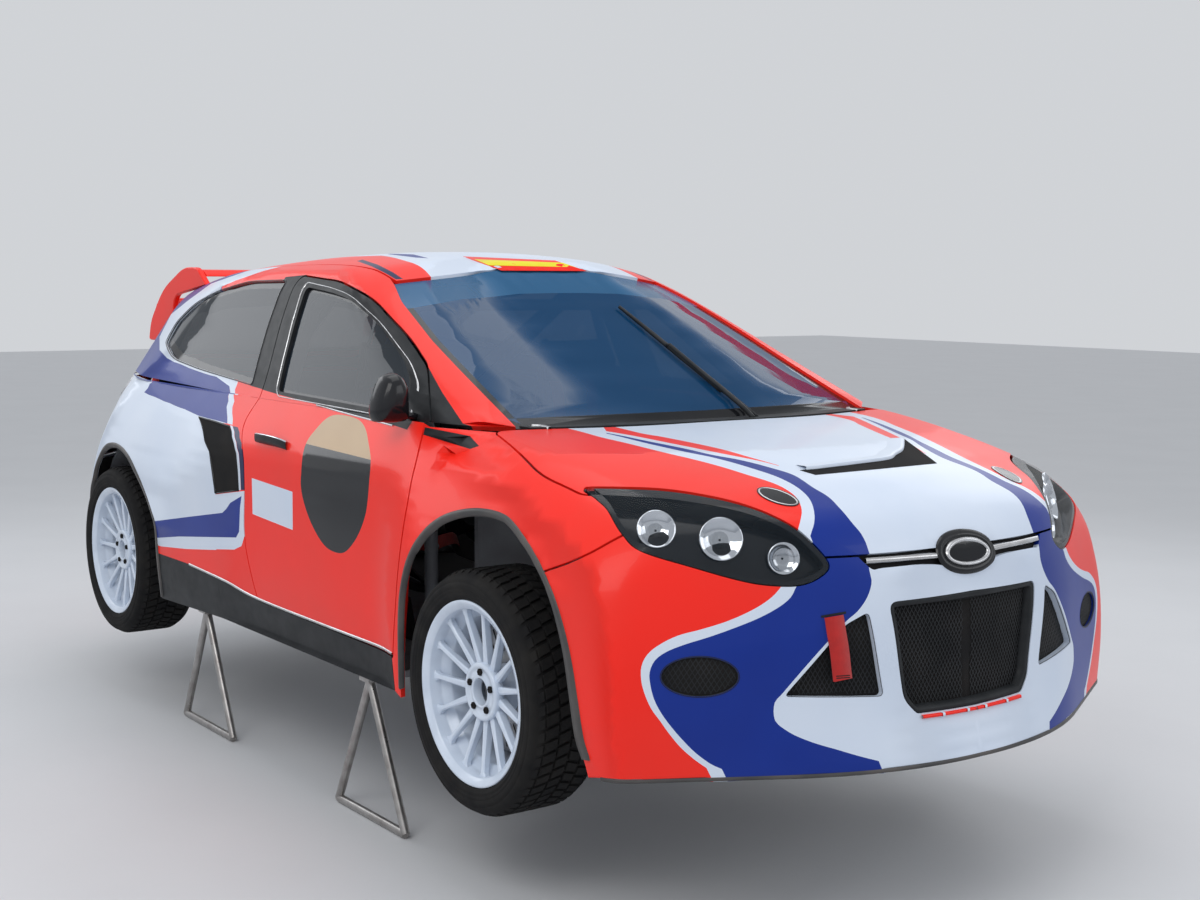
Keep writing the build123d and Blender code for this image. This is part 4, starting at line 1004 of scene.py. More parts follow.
# Limits of the fender and the bumper, as (s, z)
def bonnet_side():
    """The bonnet's outer edge as (s, z), from the rear corner to the nose."""
    grown_loop = offset_loop(BONNET_LOOP, 2 * LIVERY_GAP)
    x, y = grown_loop[:, 0], grown_loop[:, 1]
    keep = (y > 20) & (x < 850) & ~((x < -40) & (y < 738))
    return LOWER.place(LOWER.drop(grown_loop[keep]))


FRONT_ARCH_SZ = from_side(curve(FRONT_ARCH), LOWER)
REAR_ARCH_SZ = from_side(curve(REAR_ARCH), LOWER)
ARCH_TOP = len(FRONT_ARCH_SZ) // 2 + 17                 # where fender and bumper meet on the arch
ARCH_LIP = ((-3, -1, 12, 14), (-12, 4, 4, -2), P_ARCH)  # section and finish of the arch edges


def low_part(line):
    """Part of a side outline on the lower hull, as (s, z)."""
    return from_side(clipped(line, 1, LOW_TOP, False), LOWER)


def high_part(line):
    """Part of a side outline on the upper hull, as (s, z)."""
    return from_side(clipped(line, 1, BELT_Z, True), UPPER)


def grown_line(corners, by):
    """Outline corners moved outwards, rounded."""
    return rounded(grown(corners, by))


# Boundary between fender and bumper, traced: from the arch up to the lamp's rear corner
JOINT = pixels([(520, 585), (533.1, 576.8), (560, 566), (590, 553), (612, 541), (625, 534)], LOWER)


def side_s(x, z):
    """The s on the lower hull of one place seen from the side."""
    return from_side(np.array([(x, z)]), LOWER)[0, 0]


def box_loop(s0, s1, z0, z1):
    """Rectangle as a closed (s, z) outline."""
    return np.array([(s0, z0), (s1, z0), (s1, z1), (s0, z1)])


def make_fender():
    """Fender between the door, the bonnet, the lamp and the bumper."""
    shape = Shape()
    door_edge = low_part(grown_line(DOOR, 2 * LIVERY_GAP))
    s_end = side_s(-470.0, 240.0) + 180
    (s_top, z_top), (s_foot, _) = JOINT[-1], JOINT[0]
    outer = box_loop(s_top - 60, s_end, SKIN_LOW, LOW_TOP)
    sill_cut = from_side(np.array([(-470.0, 190.0), (-470.0, 290.0)]), LOWER) - (2, 0)
    bumper = np.vstack([JOINT, [(s_top - 500, z_top), (s_top - 500, 100), (s_foot, 100)]])
    top = bonnet_side()
    front, rear = top[-1, 0] - 900, top[0, 0] + 600
    bonnet = np.vstack([top, [(front, top[-1, 1]), (front, 1400), (rear, 1400), (rear, top[0, 1])]])
    holes = [door_edge, FRONT_ARCH_SZ, offset_loop(LAMP, LIVERY_GAP), offset_loop(bumper, LIVERY_GAP), bonnet]

    def region(p):
        return inside_all(p, [outer] + holes) & (p[:, 0] < np.interp(p[:, 1], sill_cut[:, 1], sill_cut[:, 0]))

    marks = [closed(a) for a in holes] + [sill_cut]
    skin(shape, LOWER.lift, [outer], region, [(LOWER.place(seen(TRIANGLE_LOW)), P_TRIM)], marks, base=P_RED,
         inner=P_DARK)
    strip(shape, LOWER.lift, FRONT_ARCH_SZ[6:ARCH_TOP], *ARCH_LIP)
    return shape


# Bumper: livery, intakes and blanks, traced on the photograph
def band(points, first):
    """Area from a traced line to the centre line; first is how far it is drawn out before its start."""
    line = pixels(points, LOWER)
    line = np.vstack([line[:1] + first, line, line[-1:] + (-25, -80)])
    return np.vstack([line, [(-60.0, line[-1, 1]), (-60.0, line[0, 1])]])


FRONT_RED = band([(781.1, 586.9), (771.6, 597.4), (754.4, 608.9), (729.5, 620.4), (702.7, 629),
                  (677.8, 635.7), (658.7, 645.2), (647.2, 654.8), (641.5, 666.3), (641.1, 679.7),
                  (644.3, 693), (651, 708.4), (660.6, 721.7), (670.2, 735.1), (681.7, 748.5), (695, 760),
                  (706.5, 768)], (-80, 120))
FRONT_BLUE = band([(794.9, 589.4), (790.7, 597.4), (779.2, 607), (760.1, 617.5), (737.1, 627),
                   (710.4, 636.6), (685.5, 644.3), (666.4, 651.9), (654.9, 660.5), (649.7, 672),
                   (650.1, 683.5), (653.9, 698.8), (660.6, 712.2), (670.2, 725.6), (681.7, 739),
                   (695, 752.4), (710.4, 763.8), (721.8, 769)], (-80, 120))
FRONT_WHITE = band([
    (866, 548), (869.4, 570.5), (871.6, 580), (870.4, 588.9), (865.8, 600), (857.4, 611.5), (845, 622.4),
    (828, 641.4), (811.7, 659.6), (792.6, 681.6), (781.1, 695), (774.8, 702.6), (773.9, 716), (778.3, 724.6),
    (792.6, 734.2), (813.7, 742.8), (836.6, 749.5), (859.6, 756.2), (878.7, 761)], (0, 40))
SIDE_INTAKE = rounded([(s, z, 16) for s, z in LOWER.place(seen([
    (868.9, 611.5), (884.3, 696.5), (783.5, 697), (827, 647), (845, 625)]))], 8.0)
MAIN_CORNERS = [(*LOWER.place(seen([place]))[0], cut)
                for place, cut in (((888.6, 602.1), 26), ((903.9, 700), 20), ((917, 714), 10))]
MAIN_INTAKE = clipped(rounded([(-40, 604, 0)] + MAIN_CORNERS + [(-40, 314, 0)], 10.0), 0, 0.0, True)
SLOT_TOP = pixels([(852.2, 551), (880, 549.3), (910, 546.5), (934, 542.7), (944, 539.5), (953, 534.4)], LOWER,
                  step=8)
SLOT_LOW = pixels([(946, 566), (936, 564.6), (913.5, 565), (882.9, 568), (872.7, 569.4), (862.4, 561.2)],
                   LOWER, step=8)
SLOT = np.vstack([SLOT_TOP, [(0, 741), (0, 653)], SLOT_LOW])
FOG = pixels(ellipse_px((699.8, 676.8), (38.5, 0), (0, 19.5), 24), LOWER, True, 10.0)


def make_front_bumper():
    """Bumper round the intakes, with its arch and lower edges."""
    shape = Shape()
    s_back = side_s(470.0, 240.0)
    outer = box_loop(0, s_back + 60, SKIN_LOW, 760)
    (s_top, _), (s_foot, z_foot) = JOINT[-1], JOINT[0]
    bumper = np.vstack([JOINT, [(s_top, 900), (-100, 900), (-100, 100), (s_foot + 60, 100),
                                (s_foot + 60, z_foot - 20)]])
    bumper_side = offset_loop(bumper, -LIVERY_GAP)
    nose_cut = np.vstack([nose_line(BUMPER_NOSE_Z, 490), [(490, 1000), (-60, 1000), (-60, BUMPER_NOSE_Z)]])
    holes = [offset_loop(LAMP, LIVERY_GAP), FRONT_ARCH_SZ, nose_cut, MAIN_INTAKE, SIDE_INTAKE, SLOT,
             offset_loop(FOG, 1.0)]

    def region(p):
        return inside_all(p, [outer] + holes) & inside(p, bumper_side)

    zones = [(FRONT_RED, P_WHITE), (FRONT_BLUE, P_BLUE), (FRONT_WHITE, P_WHITE)]
    marks = [closed(a) for a in holes[:2] + [bumper_side] + holes[2:]]
    skin(shape, LOWER.lift, [outer], region, zones, marks, base=P_RED, depth=22.0, inner=P_DARK)
    strip(shape, LOWER.lift, nose_line(196, s_back - 80, 90), (-5, -4, 4, 5), (-1, 1.5, 1.5, -1), P_ARCH)
    strip(shape, LOWER.lift, FRONT_ARCH_SZ[ARCH_TOP - 1:-8], *ARCH_LIP)
    return both(shape)


def wires(shape, lift, region, low, high, inset, finish):
    """Crossed thin wires of a screen, in the places where region() holds."""
    reach = (high[1] - low[1]) * WIRE_SLOPE
    for lean in (-1, 1):
        for start in np.arange(low[0] - reach, high[0] + reach, WIRE_PITCH):
            z = np.linspace(low[1], high[1], 28)
            s = start + lean * (z - low[1]) * WIRE_SLOPE + (0 if lean > 0 else reach)
            line = np.column_stack([s, z])
            keep = region(line) & (s >= -1)
            runs = np.flatnonzero(np.diff(np.concatenate([[0], keep.astype(int), [0]])))
            for a, b in runs.reshape(-1, 2):
                if b - a < 2:
                    continue
                p = lift(line[a:b])
                n = body_normals(p)
                across = unit(np.cross(n, np.gradient(p, axis=0))) * WIRE_WIDTH / 2
                mid = p - n * inset
                shape.add(np.vstack([mid - across, mid + across]), band_faces(2, b - a), finish)


def half_oval(across, high):
    """Half of the plain oval in the slot, from its foot to its top."""
    a = np.linspace(-math.pi / 2, math.pi / 2, 26)
    return np.column_stack([across * np.cos(a), OVAL_Z + high * np.sin(a)])


def opened(loop):
    """Closed loop as an open line that starts after its longest edge."""
    k = np.argmax(np.linalg.norm(np.roll(loop, -1, axis=0) - loop, axis=1))
    return np.roll(loop, -(k + 1), axis=0)


def tube(shape, path, radius, finish, sides=12):
    """Round tube along 3D points, closed at both ends."""
    path = np.asarray(path, float)
    n = len(path)
    radius = np.broadcast_to(radius, (n,))
    t = unit(np.gradient(path, axis=0))
    up = np.array((0.0, 0.0, 1.0)) if abs(t[0, 2]) < 0.9 else np.array((0.0, 1.0, 0.0))
    a = np.linspace(0, 2 * math.pi, sides, endpoint=False)[:, None]
    rings = []
    for i in range(n):
        side = np.cross(t[i], up)
        side /= max(np.linalg.norm(side), 1e-9)
        up = np.cross(side, t[i])
        rings.append(path[i] + radius[i] * (np.cos(a) * side + np.sin(a) * up))
    shape.add(np.vstack(rings), band_faces(n, sides, True) + end_faces(n, sides), finish)


def turned(shape, origin, axis, profile, finish, sides=32):
    """Surface of revolution: profile is (distance along the axis, radius), from one end to the other."""
    axis = np.asarray(axis, float)
    axis = axis / np.linalg.norm(axis)
    up = np.array((0.0, 0.0, 1.0)) if abs(axis[2]) < 0.9 else np.array((1.0, 0.0, 0.0))
    u = np.cross(axis, up)
    u /= np.linalg.norm(u)
    v = np.cross(axis, u)
    a = np.linspace(0, 2 * math.pi, sides, endpoint=False)[:, None]
    rings = [np.asarray(origin) + axis * d + r * (np.cos(a) * u + np.sin(a) * v) for d, r in profile]
    shape.add(np.vstack(rings), band_faces(len(profile), sides, True), finish)


WIRE_PITCH, WIRE_WIDTH, WIRE_SLOPE = 12.0, 2.2, 0.6
# Front openings: each hole, how deep its back lies, how deep its wires lie and where they end
OVAL_Z = 697.0
OPENINGS = [(MAIN_INTAKE, 27.0, 24.0, -14.0), (SIDE_INTAKE, 20.0, 17.0, -3.0), (SLOT, 14.0, None, None),
            (FOG, 8.0, 6.5, -1.0)]
BAR_PX = [(866, 560.5), (890, 558.8), (915, 557), (937, 555.4)]


def make_intakes():
    """Screens, frames, the plain oval and the bars in the front openings."""
    shape = Shape()
    # Dark sheets behind the openings: painted shade inside the intakes.
    for hole, inset, _, _ in OPENINGS:
        grown_hole = clipped(offset_loop(hole, 4.0), 0, 0.0, True)
        skin(shape, LOWER.lift, [grown_hole], base=P_DARK, inset=inset, depth=2.0, step=30.0)
    for hole, _, inset, edge in OPENINGS:
        if edge is None:
            continue
        inner = offset_loop(hole, edge)
        wires(shape, LOWER.lift, lambda p: inside(p, inner), hole.min(0), hole.max(0), inset, P_TRIM)
    strip(shape, LOWER.lift, opened(MAIN_INTAKE), (-2, 2, 14, 18), (-8, -2, -5, -26), P_TRIM)
    strip(shape, LOWER.lift, closed(FOG), (-1, 3, 6), (-2, 1, -7), P_TRIM)
    strip(shape, LOWER.lift, closed(SIDE_INTAKE), (-1, 2, 6), (-4, 0, -18), P_TRIM)
    strip(shape, LOWER.lift, pixels(BAR_PX, LOWER, step=8), (-7, -5.5, 5.5, 7), (-10, 2, 2, -10), P_SILVER)
    strip(shape, LOWER.lift, half_oval(82, 31), (-2, 0, 18, 22), (-8, 6, 8, 0), P_BLACK)
    strip(shape, LOWER.lift, half_oval(74, 27), (-4.5, -2.5, 2.5, 4.5), (6, 12, 12, 6), P_SILVER)
    skin(shape, LOWER.lift, [half_oval(84, 33)], base=P_BLACK, inset=-6.5, depth=8.0, step=10.0)
    s = np.linspace(2, 180, 60)
    slat = np.column_stack([s, np.interp(s, *MAIN_EDGE)])
    strip(shape, LOWER.lift, slat, (3, 4, 11, 12), (-4, 7, 7, -4), P_RED)
    for at in (28, 112):
        s = np.linspace(at, at + 8, 4)
        tab = np.column_stack([s, np.interp(s, *MAIN_EDGE)])
        strip(shape, LOWER.lift, tab, (2, 3, 12, 13), (-4, 9, 9, -4), P_WHITE)
    return both(shape)


def lower_edge(loop, s_end):
    """Foot of a loop near the centre line as (s values, z values)."""
    s = np.linspace(0, s_end, 30)
    line = opened(loop)
    low = line[line[:, 1] < line[:, 1].mean()]
    order = np.argsort(low[:, 0])
    return s, np.interp(s, low[order, 0], low[order, 1])


MAIN_EDGE = lower_edge(MAIN_INTAKE, 190)
STRAP_PX = [(833.5, 616), (836, 632), (839, 650), (841, 668), (842.3, 679.5)]
LAMP_BOWLS = [((655, 520), 44), ((722, 532), 50), ((786, 556), 36)]    # pixel of the middle, radius
LAMP_AXIS = (0.86, 0.45, 0.08)         # way the bowls look, before they lean to the form


def make_strap():
    """Loop of webbing that hangs from a slot in the bumper."""
    shape = Shape()
    line = pixels(STRAP_PX, LOWER, step=6)
    strip(shape, LOWER.lift, line, (-24, -23, 23, 24), (1, 6.5, 6.5, 1), 0)
    strip(shape, LOWER.lift, line[:2] + (0, 6), (-32, 32), (1.5, 1.5), 1)
    for s, z in line[-3:-1]:
        across = np.column_stack([np.linspace(s - 18, s + 18, 8), np.full(8, z)])
        strip(shape, LOWER.lift, across, (-1.2, 0, 1.2), (6.6, 7.6, 6.6), 1)
    return shape


def make_lamps():
    """Dark housings with bright bowls behind clear covers."""
    shape = Shape()
    skin(shape, LOWER.lift, [offset_loop(LAMP, -1.0)], base=0, inset=2.0, depth=2.0, step=20.0)
    skin(shape, LOWER.lift, [offset_loop(LAMP, 2.0)], base=1, inset=42.0, depth=2.0, step=20.0)
    skin(shape, LOWER.lift, [offset_loop(LAMP, 0.0), offset_loop(LAMP, -13.0)], base=1, inset=3.0, depth=40.0,
         step=8.0)
    for place, radius in LAMP_BOWLS:
        centre = LOWER.lift(LOWER.place(seen([place])))[0]
        normal = body_normals(centre[None, :])[0]
        face = np.array(LAMP_AXIS) * 0.6 + normal * 0.4
        face /= np.linalg.norm(face)
        base = centre - normal * 40
        bowl = [(0, 3), (1, radius * 0.45), (7, radius * 0.8), (17, radius), (18, radius + 3),
                (10, radius + 3)]
        bulb = [(0, radius * 0.42), (10, radius * 0.36), (16, radius * 0.2), (18, 1)]
        turned(shape, base, face, bowl, 2)
        turned(shape, base + face * 3, face, bulb, 3)
    brow = LAMP[int(0.08 * len(LAMP)):int(0.42 * len(LAMP))]
    strip(shape, LOWER.lift, brow, (12, 16, 26, 28), (-36, -16, -18, -38), 2)
    return both(shape)


# Cabin, doors and tail: livery traced on the photograph's pixels
def dense(points, step=5.0, is_closed=True):
    """Straight-edged line on the photograph with points added between its corners."""
    p = np.array(points, float)
    ends = np.roll(p, -1, axis=0) if is_closed else p[1:]
    out = []
    for a, b in zip(p, ends):
        n = max(1, int(np.linalg.norm(b - a) / step))
        out.append(a + (b - a) * np.linspace(0, 1, n, endpoint=False)[:, None])
    return np.vstack(out)


def trace(points, hull):
    """Straight-edged line traced on the photograph, as (s, z) on a hull."""
    return hull.place(seen(dense(points, is_closed=False)))


def patch(points, hull):
    """Painted area traced on the photograph, as a closed (s, z) outline."""
    return hull.place(seen(dense(points)))


BELT_LINE = [(228, 377.5), (241, 381.5), (260, 387.3), (300, 398.4), (350, 412.2), (395.9, 425), (416, 431)]
PLATE = [(306.9, 443.6), (316.8, 430.6), (329.1, 418.4), (341.3, 414.5), (356.6, 416.8), (365.5, 423),
         (370, 437), (371, 459), (368.9, 485.7), (365.8, 513), (358.2, 534.7), (347.5, 550), (338.3, 553),
         (326, 547), (315.3, 531.6), (306.1, 510), (300.8, 485.7), (302, 461)]
PLATE_WHITE = [(251.8, 478), (292.4, 491.8), (292.7, 530), (252.6, 514)]
TRIANGLE_LOW = [(420, 424), (424, 433), (470, 449), (479, 446), (470, 436)]
TRIANGLE = [(428, 366), (424, 432), (470, 448), (478, 446), (442, 392)]
QUARTER_LOW_EDGE = [(230.8, 423.3), (203.5, 415.2), (188.7, 409.1), (165, 399.2), (147, 392.2)]
QUARTER_BLUE_EDGE = [(221.8, 286), (234.2, 385.8), (233.2, 401)] + QUARTER_LOW_EDGE
QUARTER_THROUGH = [(231.5, 423), (234.2, 385.8), (221.8, 287), (219, 282)]
QUARTER_WHITE = [(159.5, 337), (160, 327), (167, 317.5), (188, 300.5), (211, 283.6), (237.3, 274.4),
                 (263.9, 265.4), (292.6, 259.4), (318, 257.4), (313.7, 259), (292.6, 263.8),
                 (263.9, 270.8), (237.1, 280), (221.8, 286.5), (205, 320), (222, 365), (241.3, 381.5),
                 (241.5, 383.4), (238.7, 401), (236.1, 424.6), (230.8, 423.2), (233.2, 401), (234.2, 386),
                 (218.3, 376.6), (190.7, 367.7), (167, 358), (159.6, 350)]
SCOOP_PX = [(204.5, 416), (234, 425.3), (236, 448), (238, 470), (239.1, 491.1), (215.4, 494)]
SCOOP_FRONT = [(215.4, 494), (204.5, 416)]
SCOOP_LINE = [(234, 425), (236.4, 425.6), (238.2, 448), (240, 470), (240.8, 490), (239, 490.5), (237.4, 470),
              (235.8, 448)]
SCOOP_NAVY = [(236.6, 425.8), (241.8, 427), (243.2, 448), (244.6, 470), (245, 490), (241, 490), (240, 470),
              (238.4, 448)]
LOW_WHITE = [(157.1, 500), (203, 500), (214.4, 494.5), (244, 491), (244.6, 535.5), (241.5, 546),
             (234.2, 549.6), (186.7, 548.6), (165, 545)]
LOW_BLUE = [(152, 521.6), (188.7, 516.8), (222.3, 512.8), (226.2, 508.9), (230.2, 502.9), (241.5, 496),
            (240, 507.9), (239.1, 531.6), (236.1, 537.5), (178.8, 536.5), (152, 538)]
LOW_RED = [(150, 541), (165, 546), (186.7, 549), (210, 549.8), (234.2, 550.2), (244, 546), (250, 640),
           (150, 640)]
PLATE_SPLIT = [(306.9, 443.6), (368.9, 459.2)]
BELT_TRIM = [(395.9, 425.5), (350, 412.8), (322, 405)]
HANDLE_PX = [(259, 437.5), (266, 439.2), (275, 441.4), (283, 443.6), (289.5, 445.8)]


def above(line, hull, top=1500.0):
    """Area over a traced line, as a closed (s, z) outline."""
    p = trace(line, hull)
    return np.vstack([p, [(p[-1, 0], top), (p[0, 0], top)]])


def plate_top(plate, split):
    """Part of a closed (s, z) outline above a straight line."""
    (s0, z0), (s1, z1) = split
    slope = (z1 - z0) / (s1 - s0)
    over = plate[:, 1] - z0 - (plate[:, 0] - s0) * slope
    part = clipped(np.column_stack([plate[:, 0], over]), 1, 0.0, True)
    return np.column_stack([part[:, 0], part[:, 1] + z0 + (part[:, 0] - s0) * slope])


def make_door():
    """Outer panel, black window frame and the plain plates on it."""
    shape = Shape()
    line = grown_line(DOOR, -LIVERY_GAP)
    low, high = low_part(line), high_part(line)
    hole = high_part(grown_line(DOOR_WINDOW, 0.0))
    plate = pixels(PLATE, LOWER, True, 8.0)
    split = LOWER.place(seen(PLATE_SPLIT))
    zones = [(above(BELT_LINE, LOWER), P_TRIM), (plate, P_BLACK), (plate_top(plate, split), P_GOLD),
             (patch(PLATE_WHITE, LOWER), P_WHITE)]
    skin(shape, LOWER.lift, [low], zones=zones, base=P_RED, depth=40.0, inner=P_DARK)
    zones = [(above(BELT_LINE, UPPER, 900.0), P_RED)]
    skin(shape, UPPER.lift, [high, hole], zones=zones, base=P_TRIM, depth=30.0, inner=P_DARK)
    trim = pixels(BELT_TRIM, LOWER, step=20.0)
    strip(shape, LOWER.lift, trim, (-2.5, -1.5, 1.5, 2.5), (-1, 2.5, 2.5, -1), P_SILVER)
    frame_line = opened(offset_loop(hole, 16.0))[2:-2]
    strip(shape, UPPER.lift, frame_line, (-2, -1, 1, 2), (-1, 2, 2, -1), P_SILVER)
    return shape


def make_pane(outline, border):
    """Flush glass with a black printed border; finishes are (glass, border)."""
    shape = Shape()
    skin(shape, UPPER.lift, [offset_loop(outline, 6.0)], zones=[(offset_loop(outline, -border), 0)], base=1,
         inset=9.0, depth=3.0, step=40.0)
    return shape


def ledge(shape):
    """Closes the line between the lower and the upper form behind the door."""
    x = np.linspace(-1600, -3200, 60)
    low = LOWER.lift(from_side(np.column_stack([x, np.full(60, 958.5)]), LOWER))
    high = UPPER.lift(from_side(np.column_stack([x, np.full(60, 962.0)]), UPPER))
    colours = np.where(x > -1690, P_RED, np.where(x > -1722, P_WHITE, P_BLUE))
    faces = band_faces(2, 60)
    if np.cross(low[1] - low[0], high[0] - low[0])[1] < 0:
        faces = [f[::-1] for f in faces]
    shape.add(np.vstack([low, high]), faces, colours[:-1])


def side_lower(shape, door):
    """Side below the belt: sill, arch edge and the scoop behind the door, whose opening is painted shade."""
    s_front, s_bumper = side_s(-473.0, 300.0), side_s(-2988.0, 500.0)
    gate = tail_edge(LOWER, LIVERY_GAP, LOW_TOP, GATE_LOW_Z)
    outer = np.vstack([[(s_front, SKIN_LOW), (s_bumper, SKIN_LOW), (s_bumper, GATE_LOW_Z)], gate[::-1],
                       [(s_front, LOW_TOP)]])
    holes = [low_part(door), REAR_ARCH_SZ, from_side(rounded(TAIL_LAMP), LOWER)]

    def region(p):
        return inside_all(p, [outer] + holes)

    s_end = gate[:, 0].max() + 200
    low_edge = patch(QUARTER_BLUE_EDGE, LOWER)
    tail_z = low_edge[-1, 1] - 20
    blue = np.vstack([low_edge, [(s_end, tail_z), (s_end, 1000)]])
    corner = trace(SCOOP_FRONT, LOWER)
    white = np.vstack([trace(QUARTER_LOW_EDGE, LOWER), [(s_end, tail_z), (s_end, 100), (corner[0, 0], 100)],
                       corner])
    sill = from_side(np.array(SILL_LINE), LOWER)
    sill_dark = np.vstack([sill, [(sill[-1, 0], 100), (sill[0, 0], 100)]])
    zones = [(white, P_WHITE), (patch(LOW_WHITE, LOWER), P_WHITE), (blue, P_BLUE)]
    # The scoop's opening is a dark zone on the skin: painted shade.
    zones += [(patch(points, LOWER), colour) for points, colour in (
        (QUARTER_WHITE, P_WHITE), (SCOOP_PX, P_DARK), (SCOOP_NAVY, P_NAVY), (SCOOP_LINE, P_WHITE),
        (LOW_BLUE, P_BLUE), (LOW_RED, P_RED))]
    zones.append((sill_dark, P_TRIM))
    skin(shape, LOWER.lift, [outer], region, zones, [closed(a) for a in holes], base=P_RED, inner=P_DARK)
    strip(shape, LOWER.lift, curve(sill[:5], False, 20.0), (-4, -3, 3, 4), (-2, 4, 4, -2), P_SILVER)
    ledge(shape)
    strip(shape, LOWER.lift, REAR_ARCH_SZ[4:-4], *ARCH_LIP)
    scoop = offset_loop(patch(SCOOP_PX, LOWER), -3)
    strip(shape, LOWER.lift, closed(scoop), (-2, 0, 2), (0, 4, 0), P_BLACK)


def side_upper(shape, door):
    """Side above the belt: pillars and the frame of the quarter window."""
    screen = screen_edge(LIVERY_GAP)
    roof = roof_edge()
    tail = tail_edge(UPPER, LIVERY_GAP, roof[-1, 1], BELT_Z)
    loop = np.vstack([screen, roof, tail])
    holes = [high_part(door), from_side(rounded(QUARTER_WINDOW), UPPER)]

    def region(p):
        return inside_all(p, [loop] + holes)

    s_top = tail[:, 0].max() + 300
    through = trace(QUARTER_THROUGH, UPPER)
    blue = np.vstack([through, [(through[-1, 0] - 60, 1480), (s_top, 1480), (s_top, 900),
                                (through[0, 0], 900)]])
    zones = [(blue, P_BLUE), (from_side(np.array(PILLAR), UPPER), P_TRIM),
             (from_side(np.array(PILLAR_FOOT), UPPER), P_RED), (patch(QUARTER_WHITE, UPPER), P_WHITE),
             (patch(TRIANGLE, UPPER), P_TRIM)]
    skin(shape, UPPER.lift, [loop], region, zones, [closed(a) for a in holes], base=P_RED)
    strip(shape, UPPER.lift, closed(offset_loop(holes[1], 2)), (-3, -1, 1, 3), (-6, 2, 2, -1), P_BLACK)


def make_side_frame():
    """Side of the body round the door's opening, from the sill to the roof."""
    shape = Shape()
    door = grown_line(DOOR, LIVERY_GAP)
    side_lower(shape, door)
    side_upper(shape, door)
    return shape


def screen_edge(gap, low=BELT_Z, top=1344.0):
    """The windscreen's side edge as (s, z), from the belt up to the roof's corner."""
    z = np.linspace(low, top, 40)
    y = np.interp(z, EDGE_Z, EDGE_Y) + gap
    return from_front(np.column_stack([y, z]), UPPER)


def roof_edge():
    """The seam between roof and side as (s, z), from front to back."""
    x = np.linspace(-1125, ROOF_END_X, 90)
    return UPPER.place(UPPER.drop(np.column_stack([x, np.full(90, ROOF_Y)])))


def tail_edge(hull, gap, high, low):
    """The tailgate's side edge as (s, z), from the top down."""
    z = np.linspace(high, low, 40)
    return from_rear(np.column_stack([np.full(40, TAILGATE_HALF_Y + gap), z]), hull)


ROOF_WHITE_PX = [(381, 255.6), (396, 258.2), (408.4, 261.7), (422.4, 268.1), (431.5, 277.5)]
ROOF_STRIPE_PX = [(362.4, 259.6), (377.8, 264.7), (393.1, 272.4), (403, 279), (396, 279.4), (386, 273.5),
                  (372, 266.5), (357, 261)]
ROOF_BLUE_PX = [(383.5, 253.6), (398, 253.8), (413.5, 254.4), (428.8, 258.3), (416, 257.6), (400, 255.6)]
FLAG_RED = [(463.2, 256.6), (555.1, 260.7), (586.9, 271.1), (501.5, 270.6)]
FLAG_YELLOW = [(474.5, 259.6), (562.5, 263), (575.5, 267.4), (489, 265.6)]
SUN_STRIP_PX = [(410, 306), (416, 305), (461.9, 296.6), (520.6, 292.3), (560, 291.4)]


def make_roof():
    """Roof skin with its stripes; made on one side and mirrored, with the flag laid over the middle."""
    half = Shape()
    y = np.linspace(ROOF_Y, 0, 50)
    z = np.interp(y, EDGE_Y[::-1], EDGE_Z[::-1]) + 2
    front = UPPER.lift(from_front(np.column_stack([y, z]), UPPER))[:, :2]
    front[-1, 1] = 0.0
    back = np.array([(ROOF_END_X, 0.0), (ROOF_END_X, ROOF_Y)])
    loop = rounded([(px, py, 0) for px, py in np.vstack([front, back])], 20.0)
    line = pixels_top(ROOF_WHITE_PX)
    x_front = line[-1, 0] + 200
    white = np.vstack([[(-2700, line[0, 1] - 40)], line,
                       [(x_front, line[-1, 1]), (x_front, -60), (-2700, -60)]])
    zones = [(white, P_WHITE)]
    for points, colour in ((ROOF_STRIPE_PX, P_NAVY), (ROOF_BLUE_PX, P_BLUE)):
        zones.append((seen(dense(points, 3.0))[:, :2] * (1, -1), colour))
    skin(half, UPPER.drop, [loop], zones=zones, base=P_RED)
    shape = both(half)
    for points, colour, height in ((FLAG_RED, P_RED, 0.9), (FLAG_YELLOW, P_YELLOW, 1.4)):
        p = seen(dense(points, 4.0))[:, :2]
        skin(shape, UPPER.drop, [p], base=colour, inset=-height, depth=height, step=30.0, seam=False)
    return shape


def make_windscreen():
    """Bonded screen: black border, blue-grey sun strip and glass darkened with painted shade of the cabin."""
    shape = Shape()
    y = np.linspace(545, 0, 30)
    top = from_front(np.column_stack([y, np.interp(y, EDGE_Y[::-1], EDGE_Z[::-1])]), UPPER)
    edge = screen_edge(0.0, 962.0, 1351.0)
    loop = np.vstack([edge, top[1:], [(0, 962)]])
    wide = np.vstack([[(-300, 962)], edge, top[1:], [(-300, top[-1, 1])]])
    low = trace(SUN_STRIP_PX, UPPER)
    low = low[np.argsort(-low[:, 0])]
    s_end = low[0, 0] + 40
    sun = np.vstack([low, [(-300, low[-1, 1]), (-300, 1500), (s_end, 1500), (s_end, low[0, 1])]])
    zones = [(offset_loop(wide, -24), 0), (sun, 2)]
    skin(shape, UPPER.lift, [loop], zones=zones, base=1, inset=8.5, depth=3.0, step=40.0)
    return both(shape)


